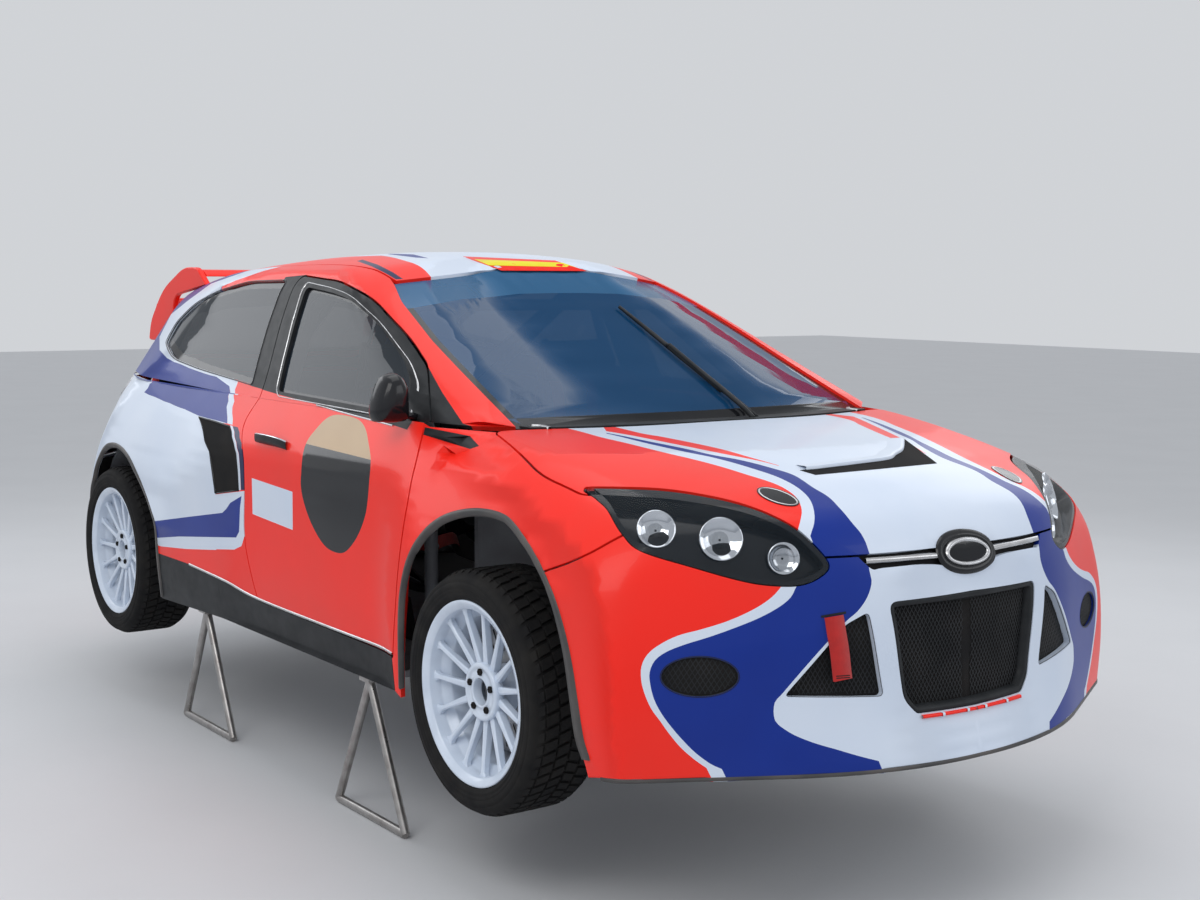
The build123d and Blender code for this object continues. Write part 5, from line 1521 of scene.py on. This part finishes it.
def make_tailgate():
    """Lower panel, window frame and the strip under the roof."""
    shape = Shape()
    s_mid = LOWER.s[-1]
    gate = tail_edge(LOWER, -LIVERY_GAP, LOW_TOP, GATE_LOW_Z)
    low = np.vstack([gate, [(s_mid, GATE_LOW_Z), (s_mid, LOW_TOP)]])
    skin(shape, LOWER.lift, [low], base=P_RED, depth=40.0, inner=P_DARK)
    y = np.linspace(TAILGATE_HALF_Y - LIVERY_GAP, 0, 30)
    top = UPPER.place(UPPER.drop(np.column_stack([np.full(30, ROOF_END_X - 2 * LIVERY_GAP), y])))
    top[-1, 0] = UPPER.s[-1]
    side = tail_edge(UPPER, -LIVERY_GAP, top[0, 1], BELT_Z)
    loop = np.vstack([top, [(UPPER.s[-1], BELT_Z)], side[::-1][:-1]])
    window = clipped(rear_window_outline(), 0, UPPER.s[-1], False)

    def region(p):
        return inside_all(p, [loop, window])

    skin(shape, UPPER.lift, [loop], region, [], [closed(window)], base=P_RED, depth=40.0, inner=P_DARK)
    return both(shape)


def rear_window_outline():
    """Left half of the rear window, as (s, z)."""
    half = rounded(REAR_WINDOW)
    half = half[np.argsort(np.arctan2(half[:, 1] - 1140, half[:, 0] - 240))]
    return from_rear(np.column_stack([np.maximum(half[:, 0], 0), half[:, 1]]), UPPER)


def make_rear_window():
    """Rear glass with a black printed border."""
    shape = Shape()
    outline = rear_window_outline()
    outer = offset_loop(outline, 5.0)

    def region(p):
        return inside(p, outer) & (p[:, 0] <= UPPER.s[-1])

    skin(shape, UPPER.lift, [outer], region, [(offset_loop(outline, -16.0), 0)], base=1, inset=9.0, depth=3.0,
         step=40.0)
    return both(shape)


def make_rear_bumper():
    """Wrap-round bumper with a dark lower part."""
    shape = Shape()
    s_start = side_s(-2992.0, 500.0)
    s_mid = LOWER.s[-1]
    outer = box_loop(s_start, s_mid, SKIN_LOW, 632.0)
    # Exhaust opening drawn as a dark zone on the skin: painted shade of the recess.
    pipe = from_rear(rounded([(380, 190, 0), (480, 190, 0), (480, 372, 40), (380, 372, 40)]), LOWER)

    def region(p):
        return inside_all(p, [outer, REAR_ARCH_SZ])

    dark = np.array([(s_start, 100), (s_start, 330), (s_start + 420, 372), (s_mid, 372), (s_mid, 100)])
    side = np.array([(-50, 372), (90, 372), (150, 440), (270, 520), (460, 590), (700, 640), (-50, 640)])
    side = side + (s_start, 0)
    skin(shape, LOWER.lift, [outer], region, [(side, P_WHITE), (dark, P_TRIM), (pipe, P_DARK)],
         [closed(REAR_ARCH_SZ)], base=P_RED, depth=20.0, inner=P_DARK)
    return both(shape)


def make_tail_lamps():
    """Lens on the body's corner, ending at the tailgate, with a ring on it."""
    shape = Shape()
    outline = clipped(from_side(rounded(TAIL_LAMP), LOWER), 1, LOW_TOP, False)
    gate = tail_edge(LOWER, LIVERY_GAP, LOW_TOP, GATE_LOW_Z)
    keep = clipped(outline, 0, gate[:, 0].min() - 4, False)
    skin(shape, LOWER.lift, [offset_loop(keep, -LIVERY_GAP)], base=0, inset=1.0, depth=12.0)
    inner = offset_loop(keep, -22.0)
    strip(shape, LOWER.lift, closed(inner), (-2, 0, 2), (-0.5, 2.5, -0.5), 1)
    return both(shape)


def make_handle():
    """Dark bar with a bright upper edge, standing off the door."""
    shape = Shape()
    line = pixels(HANDLE_PX, LOWER, step=14.0)
    n = len(line)
    rise = 24 * np.sqrt(np.sin(np.linspace(0.12, math.pi - 0.12, n)))[:, None]
    p = LOWER.lift(line)
    out = body_normals(p)
    rows = [p + (0, 0, up) + out * (rise * share + 0.3) for up, share in (
        (-15, 0.0), (-14, 0.8), (-9, 1.0), (0, 1.04), (8, 1.0), (13, 0.8), (14, 0.0))]
    verts, faces = np.vstack(rows), band_faces(len(rows), n)
    finish = [1 if k // (n - 1) == 4 else 0 for k in range(len(faces))]
    shape.add(verts, facing(verts, faces, out[0]), finish)
    return shape


def make_mirror():
    """Upright drop-shaped mirror shell with its glass behind, on a short foot."""
    shape = Shape()
    profile = np.array([(-926, 1010), (-924, 966), (-900, 958), (-850, 957), (-824, 966), (-823, 1020),
                        (-826, 1062), (-846, 1092), (-870, 1096), (-900, 1078)], float)
    ring = curve(profile, True, 8.0)
    middle, n = ring.mean(0), len(ring)
    rows = [np.column_stack([np.full(n, float(x)), middle + (ring - middle) * share]) for x, share in (
        (-542, 0.86), (-540, 0.97), (-530, 1.0), (-505, 0.98), (-486, 0.9), (-474, 0.74), (-467.5, 0.5),
        (-466, 0.2))]
    shape.add(np.vstack(rows), band_faces(len(rows), n, True) + end_faces(len(rows), n)[1:], 0)
    shape.add(rows[0] + (1.0, 0, 0), [tuple(range(n))], 1, smooth=False)
    foot = [(-530, -782, 966), (-505, -800, 972), (-500, -835, 976)]
    tube(shape, curve(foot, False, 8.0), 10.5, 0)
    return shape


def build_pair(left, name, finishes, node, bodies=("root", "root")):
    """Builds the left piece and its mirror image on the right."""
    for side, piece, body in zip(("left", "right"), (left, left.mirrored()), bodies):
        piece.build(f"{name}_{side}", finishes, body, [f"{node}_{side}"])


DOORS = ("door_leaf_left", "door_leaf_right")
make_bonnet().build("bonnet_skin", PAINTS, "bonnet_lid", ["bonnet"])
build_pair(make_fender(), "fender_skin", PAINTS, "front_fender")
make_front_bumper().build("bumper_skin", PAINTS, "root", ["front_bumper"])
make_lamps().build("lamp_body", [LENS, BLACK, CHROME, LENS], "root", ["headlamps"])
make_intakes().build("intake_detail", PAINTS, "root", ["intake_panels"])
make_strap().mirrored().build("strap_loop", [STRAP_RED, TRIM], "root", ["tow_strap"])
build_pair(make_door(), "door_skin", PAINTS, "door", DOORS)
build_pair(make_handle(), "handle_bar", [TRIM, CHROME], "door_handle", DOORS)
build_pair(make_side_frame(), "side_skin", PAINTS, "side_frame")
make_roof().build("roof_skin", PAINTS, "root", ["roof"])
make_windscreen().build("screen_pane", [SCREEN, BLACK, SUN_STRIP], "root", ["windscreen"])
door_pane = make_pane(high_part(grown_line(DOOR_WINDOW, 0.0)), 10.0)
build_pair(door_pane, "door_pane", [WINDOW, BLACK], "door_window", DOORS)
quarter_pane = make_pane(from_side(rounded(QUARTER_WINDOW), UPPER), 22.0)
both(quarter_pane).build("quarter_pane", [WINDOW, BLACK], "root", ["quarter_windows"])
make_tailgate().build("tailgate_skin", PAINTS, "tailgate_lid", ["tailgate"])
make_rear_window().build("rear_pane", [WINDOW, BLACK], "tailgate_lid", ["rear_window"])
make_rear_bumper().build("rear_bumper_skin", PAINTS, "root", ["rear_bumper"])
make_tail_lamps().build("tail_lamp_lens", [RED_LENS, SILVER], "root", ["tail_lamps"])
make_mirror().build("mirror_shell", [BLACK, CHROME], "door_leaf_right", ["mirror_right"])


# Wheels: sizes as the solids have, measured inwards from the rim's outer face
WHEEL_FACE = -927.0
FRONT_WHEEL = (0.0, 287.0)
REAR_WHEEL = (-2648.0, 299.0)
WHEEL_WIDTH = 214
SPOKES = 15
RIM_LOOP = [(12, 246), (2, 246), (0, 244.5), (0, 240), (2, 237), (9, 222.5), (13, 221), (43, 221), (49, 218),
            (63, 198.5), (69, 196), (148, 196), (172, 221), (206, 221), (214, 238), (214, 246), (202, 246),
            (200, 229), (174, 229), (154, 204), (64, 204), (44, 229), (14, 229), (12, 246)]
HUB_LOOP = [(118, 66), (68, 66), (60, 78), (39, 78), (35, 75), (34, 71), (34, 64), (37, 62), (37, 44),
            (34, 42.5), (34, 37), (38, 36), (62, 36)]
DISC_LOOP = [(118, 67), (118, 92), (119, 93), (118, 95), (118, 168), (121, 172), (129, 172), (130, 168),
             (134, 168), (135, 172), (143, 172), (146, 168), (146, 30)]
# Spokes: radius, depth of the front edge, depth of the section, width
SPOKE = [(60, 46, 28, 27), (72, 44.6, 27.5, 22), (100, 41, 26.5, 19), (140, 35.8, 24.5, 16),
         (180, 30.5, 22, 13.5), (200, 28, 21, 13.5), (211, 26.2, 20.4, 17), (217, 25.2, 20, 24),
         (220.5, 24.6, 20, 32)]
TYRE_SIDE = [(15, 229), (13, 246.5), (2, 247.5), (-1, 249), (-1.6, 252), (-4.5, 256), (-6.6, 262),
             (-5.6, 263.5), (-7.4, 269), (-8.8, 274), (-7.6, 275.5), (-8.9, 278), (-8.4, 285),
             (-7.4, 292), (-5.8, 292.8), (-6.4, 296), (-4.8, 302), (-1, 307.5), (5, 312), (13, 315.5),
             (24, 317.5), (31, 318)]
# Tread: depth and radius at both ends of a block, then the row's shift and slant in pitches
TREAD_ROWS = [(4, 311.5, 25, 322.5, 0.0, 0.25), (29, 324.4, 65, 325, 0.35, 0.3),
              (70, 325, 104, 325, 0.85, 0.3), (110, 325, 144, 325, 1.45, -0.3),
              (149, 325, 185, 324.4, 1.75, -0.3), (189, 322.5, 210, 311.5, 2.1, -0.25)]
TREAD_COUNT = 58
BLOCK_FACES = [(4, 5, 7, 6), (0, 1, 5, 4), (2, 6, 7, 3), (0, 4, 6, 2), (1, 3, 7, 5)]    # all but the foot


def make_rim(place):
    """Fifteen slender tapered spokes between the barrel and the bolted hub."""
    cx, cz = place
    shape = Shape()
    origin, axis = (cx, WHEEL_FACE, cz), (0, 1, 0)
    turned(shape, origin, axis, RIM_LOOP, 0, 96)
    turned(shape, origin, axis, HUB_LOOP, 0, 60)
    turned(shape, origin, axis, DISC_LOOP, 1, 72)
    for k in range(SPOKES):
        a = 2 * math.pi * (k + 0.5) / SPOKES
        out, side = np.array((math.cos(a), 0, math.sin(a))), np.array((-math.sin(a), 0, math.cos(a)))
        rows = []
        for r, d, deep, w in SPOKE:
            section = [(-0.26 * w, d), (0.26 * w, d), (0.5 * w, d + 3.5), (0.42 * w, d + 0.85 * deep),
                       (0.28 * w, d + deep), (-0.28 * w, d + deep), (-0.42 * w, d + 0.85 * deep),
                       (-0.5 * w, d + 3.5)]
            rows.append([np.array((cx, WHEEL_FACE + y, cz)) + out * r + side * t for t, y in section])
        shape.add(np.vstack(rows), band_faces(len(SPOKE), 8, True), 0, smooth=False)
    for k in range(5):
        a = math.radians(90 + 72 * k)
        spot = (cx + 53 * math.cos(a), WHEEL_FACE + 30, cz + 53 * math.sin(a))
        turned(shape, spot, axis, [(8, 9.5), (1, 9.5), (0, 8), (0, 4.5), (3, 4), (3, 0.5)], 2, 6)
    # Dark strips on the disc face for its slots: painted shade of the grooves.
    for k in range(30):
        a = 2 * math.pi * k / 30
        slot = [(98, a), (98, a + 0.05), (160, a + 0.14), (160, a + 0.10)]
        verts = [(cx + r * math.cos(t), WHEEL_FACE + 117.4, cz + r * math.sin(t)) for r, t in slot]
        shape.add(verts, [(0, 1, 2, 3)], 2)
    tube(shape, [(cx + 60, WHEEL_FACE + 30, cz + 204), (cx + 58, WHEEL_FACE + 44, cz + 209)], 3.4, 2, 10)
    return shape


def make_tyre(place):
    """Carcass with raised rings on the walls and slanted blocks round the tread."""
    cx, cz = place
    shape = Shape()
    far = [(WHEEL_WIDTH - d, r) for d, r in TYRE_SIDE[::-1]]
    turned(shape, (cx, WHEEL_FACE, cz), (0, 1, 0), TYRE_SIDE + far, 0, 120)
    pitch = 2 * math.pi / TREAD_COUNT
    for d0, r0, d1, r1, phase, lean in TREAD_ROWS:
        for k in range(TREAD_COUNT):
            a = (k + phase) * pitch
            verts = []
            for drop, trim in ((9.0, 0.0), (0.0, 0.05)):
                for d, r, shift in ((d0 + 20 * trim, r0, 0.0), (d1 - 20 * trim, r1, lean)):
                    for side in (trim, 0.78 - trim):
                        t = a + (side + shift) * pitch
                        x, z = cx + (r - drop) * math.cos(t), cz + (r - drop) * math.sin(t)
                        verts.append((x, WHEEL_FACE + d, z))
            shape.add(verts, BLOCK_FACES, 0, smooth=False)
    return shape


def slab(shape, outline, low, high, finish, bevel=3.0):
    """Flat piece with an outline (x, z) seen from the side, between two values of y, with eased edges."""
    outline = np.asarray(outline, float)
    x, z = outline[:, 0], outline[:, 1]
    if (x * np.roll(z, -1) - np.roll(x, -1) * z).sum() > 0:
        outline = outline[::-1]
    rows = []
    for y, by in ((low, -bevel), (low + bevel, 0.0), (high - bevel, 0.0), (high, -bevel)):
        loop = offset_loop(outline, by)
        rows.append(np.column_stack([loop[:, 0], np.full(len(loop), float(y)), loop[:, 1]]))
    n = len(outline)
    shape.add(np.vstack(rows), band_faces(4, n, True) + end_faces(4, n), finish, smooth=False)


WING_PLATE = [(-3290, 1090, 20), (-3030, 1090, 20), (-3000, 1284, 60), (-2655, 1328, 12), (-2754, 1399, 30),
              (-2893, 1399, 60), (-3121, 1310, 80), (-3262, 1175, 40)]
WING_UPPER = [(-2702, 1364), (-2728, 1380), (-2760, 1390), (-2830, 1387), (-2938, 1377), (-2930, 1368),
              (-2830, 1369), (-2740, 1363)]
WING_LOWER = [(-3032, 1251), (-3040, 1263), (-3062, 1271), (-3130, 1266), (-3248, 1245), (-3240, 1234),
              (-3140, 1245), (-3060, 1248)]


def make_wing():
    """End plates, two curved planes and a fold along their trailing edges."""
    shape = Shape()
    slab(shape, rounded(WING_PLATE), 500, 524, 0, 4.0)
    whole = both(shape)
    for plane in (WING_UPPER, WING_LOWER):
        slab(whole, curve(plane, True, 10.0), -500, 500, 0, 1.0)
    for z, x in ((1379, -2933), (1247, -3243)):
        tube(whole, [(x, -498, z), (x, 0, z + 0.5), (x, 498, z)], 3.4, 1, 8)
    return whole


def on_screen(y, z, off=0.0):
    """Point of the windscreen's form, moved out along its normal."""
    p = UPPER.lift(from_front(np.array([(float(y), float(z))]), UPPER))
    return (p + body_normals(p) * off)[0]


def make_wiper():
    """Spindle cap, sprung double arm and the blade in its holder."""
    shape = Shape()
    y = 118.0
    foot = np.array((-84.0, y, 956.0))
    turned(shape, foot - (0, 0, 16), (0, 0, 1), [(0, 12), (10, 12), (16, 10), (19, 5), (19.5, 0.5)], 0, 24)
    low, high = on_screen(y, 985, 16), on_screen(y, 1150, 15)
    tube(shape, curve([foot, low, (low + high) / 2, high], False, 14.0), 7.5, 0, 8)
    second = [foot + (-14, 26, 4), on_screen(y + 20, 1000, 10), on_screen(y + 14, 1080, 10), high]
    tube(shape, curve(second, False, 14.0), 4.0, 0, 8)
    heights = np.linspace(1024, 1272, 26)
    blade = np.array([on_screen(y, z, 7.0) for z in heights])
    sizes = 3.6 + 4.2 * np.sin(np.linspace(0.15, math.pi - 0.15, 26))
    tube(shape, blade, sizes, 0, 8)
    tube(shape, np.array([on_screen(y, z, 0.5) for z in heights]), 1.6, 1, 6)
    for z in (1060, 1110, 1190, 1240):
        tube(shape, [on_screen(y - 5, z, 5), on_screen(y + 5, z, 5)], 3.8, 0, 8)
    turned(shape, high - (6, 0, 0), (0, 1, 0), [(-9, 1), (-9, 6), (9, 6), (9, 1)], 0, 16)
    return shape


def ribbon(shape, path, side, width, thick, finish):
    """Flat webbing along 3D points; side is the direction across it."""
    path = np.asarray(path, float)
    side = np.broadcast_to(np.asarray(side, float), path.shape)
    up = unit(np.cross(side, unit(np.gradient(path, axis=0))))
    rows = [path + side * w * width / 2 + up * h * thick / 2 for w, h in (
        (-1, -0.6), (-1, 0.6), (-0.8, 1), (0.8, 1), (1, 0.6), (1, -0.6), (0.8, -1), (-0.8, -1))]
    n = len(path)
    faces = [(r * n + i, r * n + i + 1, ((r + 1) % 8) * n + i + 1, ((r + 1) % 8) * n + i)
             for r in range(8) for i in range(n - 1)]
    faces += [tuple(r * n for r in range(8)), tuple(r * n + n - 1 for r in range(8))[::-1]]
    shape.add(np.vstack(rows), faces, finish)


# Seats: the line of the sitting surface (x, z), with the side walls' height and half width along it
SEAT_LINE = [(-836, 392), (-900, 386), (-1000, 384), (-1120, 388), (-1230, 400), (-1296, 428),
             (-1326, 490), (-1346, 580), (-1368, 700), (-1388, 820), (-1404, 930), (-1416, 1030),
             (-1424, 1110), (-1428, 1138)]
SEAT_WALL = [30, 70, 92, 104, 116, 128, 132, 116, 96, 100, 120, 70, 96, 60]
SEAT_HALF = [196, 204, 206, 204, 202, 200, 200, 202, 206, 214, 220, 160, 138, 120]
SEAT_BRACKET = [(-860, 226, 6), (-1400, 226, 6), (-1392, 330, 30), (-1270, 384, 20), (-1150, 300, 30),
                (-980, 300, 30), (-900, 366, 12)]
SEAT_Y = 370.0
PAD_GRID = (15, 11)       # points along a pad and across it


def seat_rows():
    """The sitting line and, at each point, the direction away from the shell."""
    line = curve(SEAT_LINE, False, 30.0)
    t = unit(np.gradient(line, axis=0))
    out = np.column_stack([-t[:, 1], t[:, 0]])
    out *= np.sign(out[:, 0:1] + out[:, 1:2])
    share = np.linspace(0, 1, len(line))
    given = np.linspace(0, 1, len(SEAT_WALL))
    return line, out, np.interp(share, given, SEAT_WALL), np.interp(share, given, SEAT_HALF)


def make_seat_shell():
    """Moulded bucket with raised sides and a rolled edge."""
    shape = Shape()
    line, out, wall, half = seat_rows()
    rows = []
    for (x, z), (ox, oz), h, w in zip(line, out, wall, half):
        section = [(-w - 10, h), (-w - 14, h - 6), (-w - 8, 0.45 * h), (-w * 0.9, -14), (-w * 0.5, -26),
                   (0, -30), (w * 0.5, -26), (w * 0.9, -14), (w + 8, 0.45 * h), (w + 14, h - 6), (w + 10, h),
                   (w + 2, h - 4), (w - 4, 0.45 * h), (w * 0.84, -2), (w * 0.4, -12), (0, -16),
                   (-w * 0.4, -12), (-w * 0.84, -2), (-w + 4, 0.45 * h), (-w - 2, h - 4)]
        rows.append([(x + ox * v, SEAT_Y + u, z + oz * v) for u, v in section])
    n = len(rows[0])
    shape.add(np.vstack(rows), band_faces(len(rows), n, True) + end_faces(len(rows), n), 0)
    for y in (SEAT_Y - 226, SEAT_Y + 226):
        slab(shape, rounded(SEAT_BRACKET, 20.0), y - 5, y + 5, 1, 1.5)
    return shape


def make_cushion(first, last, low, high, thick):
    """Stuffed pad on a stretch of the sitting line, between two shares of the half width."""
    line, out, wall, half = seat_rows()
    base = np.linspace(0, 1, len(line))
    columns = (line[:, 0], line[:, 1], out[:, 0], out[:, 1], wall, half)
    count, n = PAD_GRID
    top, under = [], []
    for k, a in enumerate(np.linspace(first, last, count)):
        x, z, ox, oz, h, w = (np.interp(a, base, column) for column in columns)
        end = 1 - abs(2 * (k / (count - 1)) - 1) ** 5
        for j, u in enumerate(np.linspace(low, high, n)):
            mid = 1 - abs(2 * (j / (n - 1)) - 1) ** 4
            rise = thick * (0.12 + 0.88 * math.sqrt(max(end * mid, 0.0)))
            up = h * max(0.0, abs(u) - 0.86) * 4.2
            y = SEAT_Y + w * min(abs(u), 0.97) * np.sign(u)
            top.append((x + ox * (up + rise), y, z + oz * (up + rise)))
            under.append((x + ox * (up - 9), y, z + oz * (up - 9)))
    total = count * n
    faces = []
    for a, b, c, d in band_faces(count, n):
        faces += [(a, b, c, d), (total + d, total + c, total + b, total + a)]
    rim = list(range(n)) + [k * n + n - 1 for k in range(1, count)]
    rim += [(count - 1) * n + j for j in range(n - 2, -1, -1)] + [k * n for k in range(count - 2, 0, -1)]
    faces += [(p, total + p, total + q, q) for p, q in zip(rim, rim[1:] + rim[:1])]
    shape = Shape()
    shape.add(top + under, faces, 0)
    return shape


# Pads: (name, first, last, low, high, thickness) as shares along the line and across it
PADS = [("base_pad", 0.03, 0.36, -0.8, 0.8, 34), ("lumbar_pad", 0.44, 0.58, -0.78, 0.78, 26),
        ("back_pad", 0.60, 0.80, -0.8, 0.8, 24), ("head_pad", 0.86, 0.985, -0.8, 0.8, 26),
        ("hip_pad_outer", 0.16, 0.42, 0.84, 0.985, 16), ("hip_pad_inner", 0.16, 0.42, -0.985, -0.84, 16),
        ("rib_pad_outer", 0.56, 0.78, 0.84, 0.985, 16), ("rib_pad_inner", 0.56, 0.78, -0.985, -0.84, 16)]


# Belts on one side of a seat: points (x, off its middle, z), their step, the direction across, the width
BELTS = [([(-1500, 60, 1010), (-1428, 66, 1000), (-1376, 76, 960), (-1350, 70, 800), (-1290, 46, 620),
           (-1200, 18, 500), (-1160, 8, 470)], 25.0, (0, 1, 0), 50),
         ([(-1290, 196, 440), (-1250, 150, 470), (-1190, 70, 478), (-1150, 12, 474)], 20.0,
          (0.55, 0, -0.83), 44)]
BUCKLE = [(0, 26), (14, 27), (19, 24), (21, 12), (21, 0.5)]


def make_harness():
    """Shoulder and lap straps with the buckle in the lap."""
    shape = Shape()
    for side in (-1, 1):
        for points, step, across, width in BELTS:
            path = curve([(x, SEAT_Y + side * y, z) for x, y, z in points], False, step)
            ribbon(shape, path, across, width, 3.2, 0)
    turned(shape, (-1158, SEAT_Y, 462), (0.55, 0, 0.83), BUCKLE, 1, 24)
    return shape


for end, place in (("front", FRONT_WHEEL), ("rear", REAR_WHEEL)):
    rim, tyre = make_rim(place), make_tyre(place)
    for side, piece, cover in (("right", rim, tyre), ("left", rim.mirrored(), tyre.mirrored())):
        piece.build(f"{end}_wheel_{side}", [RIM, STEEL, DARK], f"wheel_{end}_{side}", [f"{end}_rim_{side}"])
        cover.build(f"{end}_tread_{side}", [RUBBER], f"wheel_{end}_{side}", [f"{end}_tyre_{side}"])
make_wing().build("wing_planes", [RED, TRIM], "tailgate_lid", ["rear_wing"])
make_wiper().build("wiper_arm", [TRIM, RUBBER], "root", ["wiper"])
both(make_seat_shell()).build("seat_shells", [BLACK, CAST], "root", ["seats"])
for pad, first, last, low, high, thick in PADS:
    cushion = make_cushion(first, last, low, high, thick)
    for side, piece in (("left", cushion), ("right", cushion.mirrored())):
        piece.build(f"{pad}_{side}", [FABRIC], "root", ["seats"])
both(make_harness()).build("harness", [STRAP_RED, SILVER], "root", ["seats"])


# Floor, light and camera
def make_floor():
    """Pale floor, 60 m square."""
    mesh = bpy.data.meshes.new("floor")
    side = np.linspace(-30.0, 30.0, 25)
    verts = [(x, y, 0.0) for x in side for y in side]
    mesh.from_pydata(verts, [], [(a, d, c, b) for a, b, c, d in band_faces(25, 25)])
    obj = bpy.data.objects.new("floor", mesh)
    bpy.context.scene.collection.objects.link(obj)
    mesh.materials.append(new_material("floor_paint", (0.62, 0.63, 0.65), rough=0.55, vary=(0.60, 0.61, 0.63),
                                       vary_scale=1.5, bump=0.1, bump_scale=60, rough_vary=0.05))


def make_light(name, place, target, size, power, colour):
    """Rectangular lamp that looks at a target."""
    data = bpy.data.lights.new(name, "AREA")
    data.shape = "RECTANGLE"
    data.size, data.size_y = size
    data.energy = power
    data.color = colour
    obj = bpy.data.objects.new(name, data)
    obj.location = place
    obj.rotation_euler = (Vector(target) - Vector(place)).to_track_quat("-Z", "Y").to_euler()
    bpy.context.scene.collection.objects.link(obj)


def make_world():
    """One pale colour all round, for light, reflections and backdrop alike."""
    world = bpy.data.worlds.new("studio")
    bpy.context.scene.world = world
    world.use_nodes = True
    sky = world.node_tree.nodes["Background"]
    sky.inputs["Color"].default_value = (0.72, 0.74, 0.77, 1)
    sky.inputs["Strength"].default_value = 0.88


def make_camera():
    """Camera as solved from the photograph."""
    data = bpy.data.cameras.new("photo_camera")
    data.sensor_width = 36.0
    data.lens = CAM_FOCAL / PHOTO[0] * 36.0
    data.clip_end = 200.0
    obj = bpy.data.objects.new("photo_camera", data)
    right, up, back = camera_axes()
    obj.matrix_world = Matrix([(*row, 0.0) for row in (right, up, back)] + [(*CAM_POS, 1.0)]).transposed()
    bpy.context.scene.collection.objects.link(obj)
    bpy.context.scene.camera = obj


make_floor()
make_world()
for light in [("key", (3.0, -4.5, 5.0), (0.3, 0.0, 0.6), (4.0, 3.0), 120.0, (1.0, 0.99, 0.97)),
              ("fill", (5.5, 2.5, 3.0), (0.5, 0.0, 0.6), (3.0, 2.5), 40.0, (0.95, 0.97, 1.0)),
              ("rear", (-5.0, -2.0, 3.6), (-0.6, 0.0, 0.6), (3.0, 2.5), 40.0, (0.95, 0.97, 1.0)),
              ("far", (-0.5, 5.0, 3.6), (0.0, 0.0, 0.6), (4.0, 2.5), 40.0, (0.97, 0.98, 1.0)),
              ("top", (0.0, 0.0, 5.5), (0.0, 0.0, 0.0), (5.0, 3.0), 60.0, (1.0, 1.0, 1.0))]:
    make_light(*light)
make_camera()
bpy.context.scene.view_settings.view_transform = "Standard"
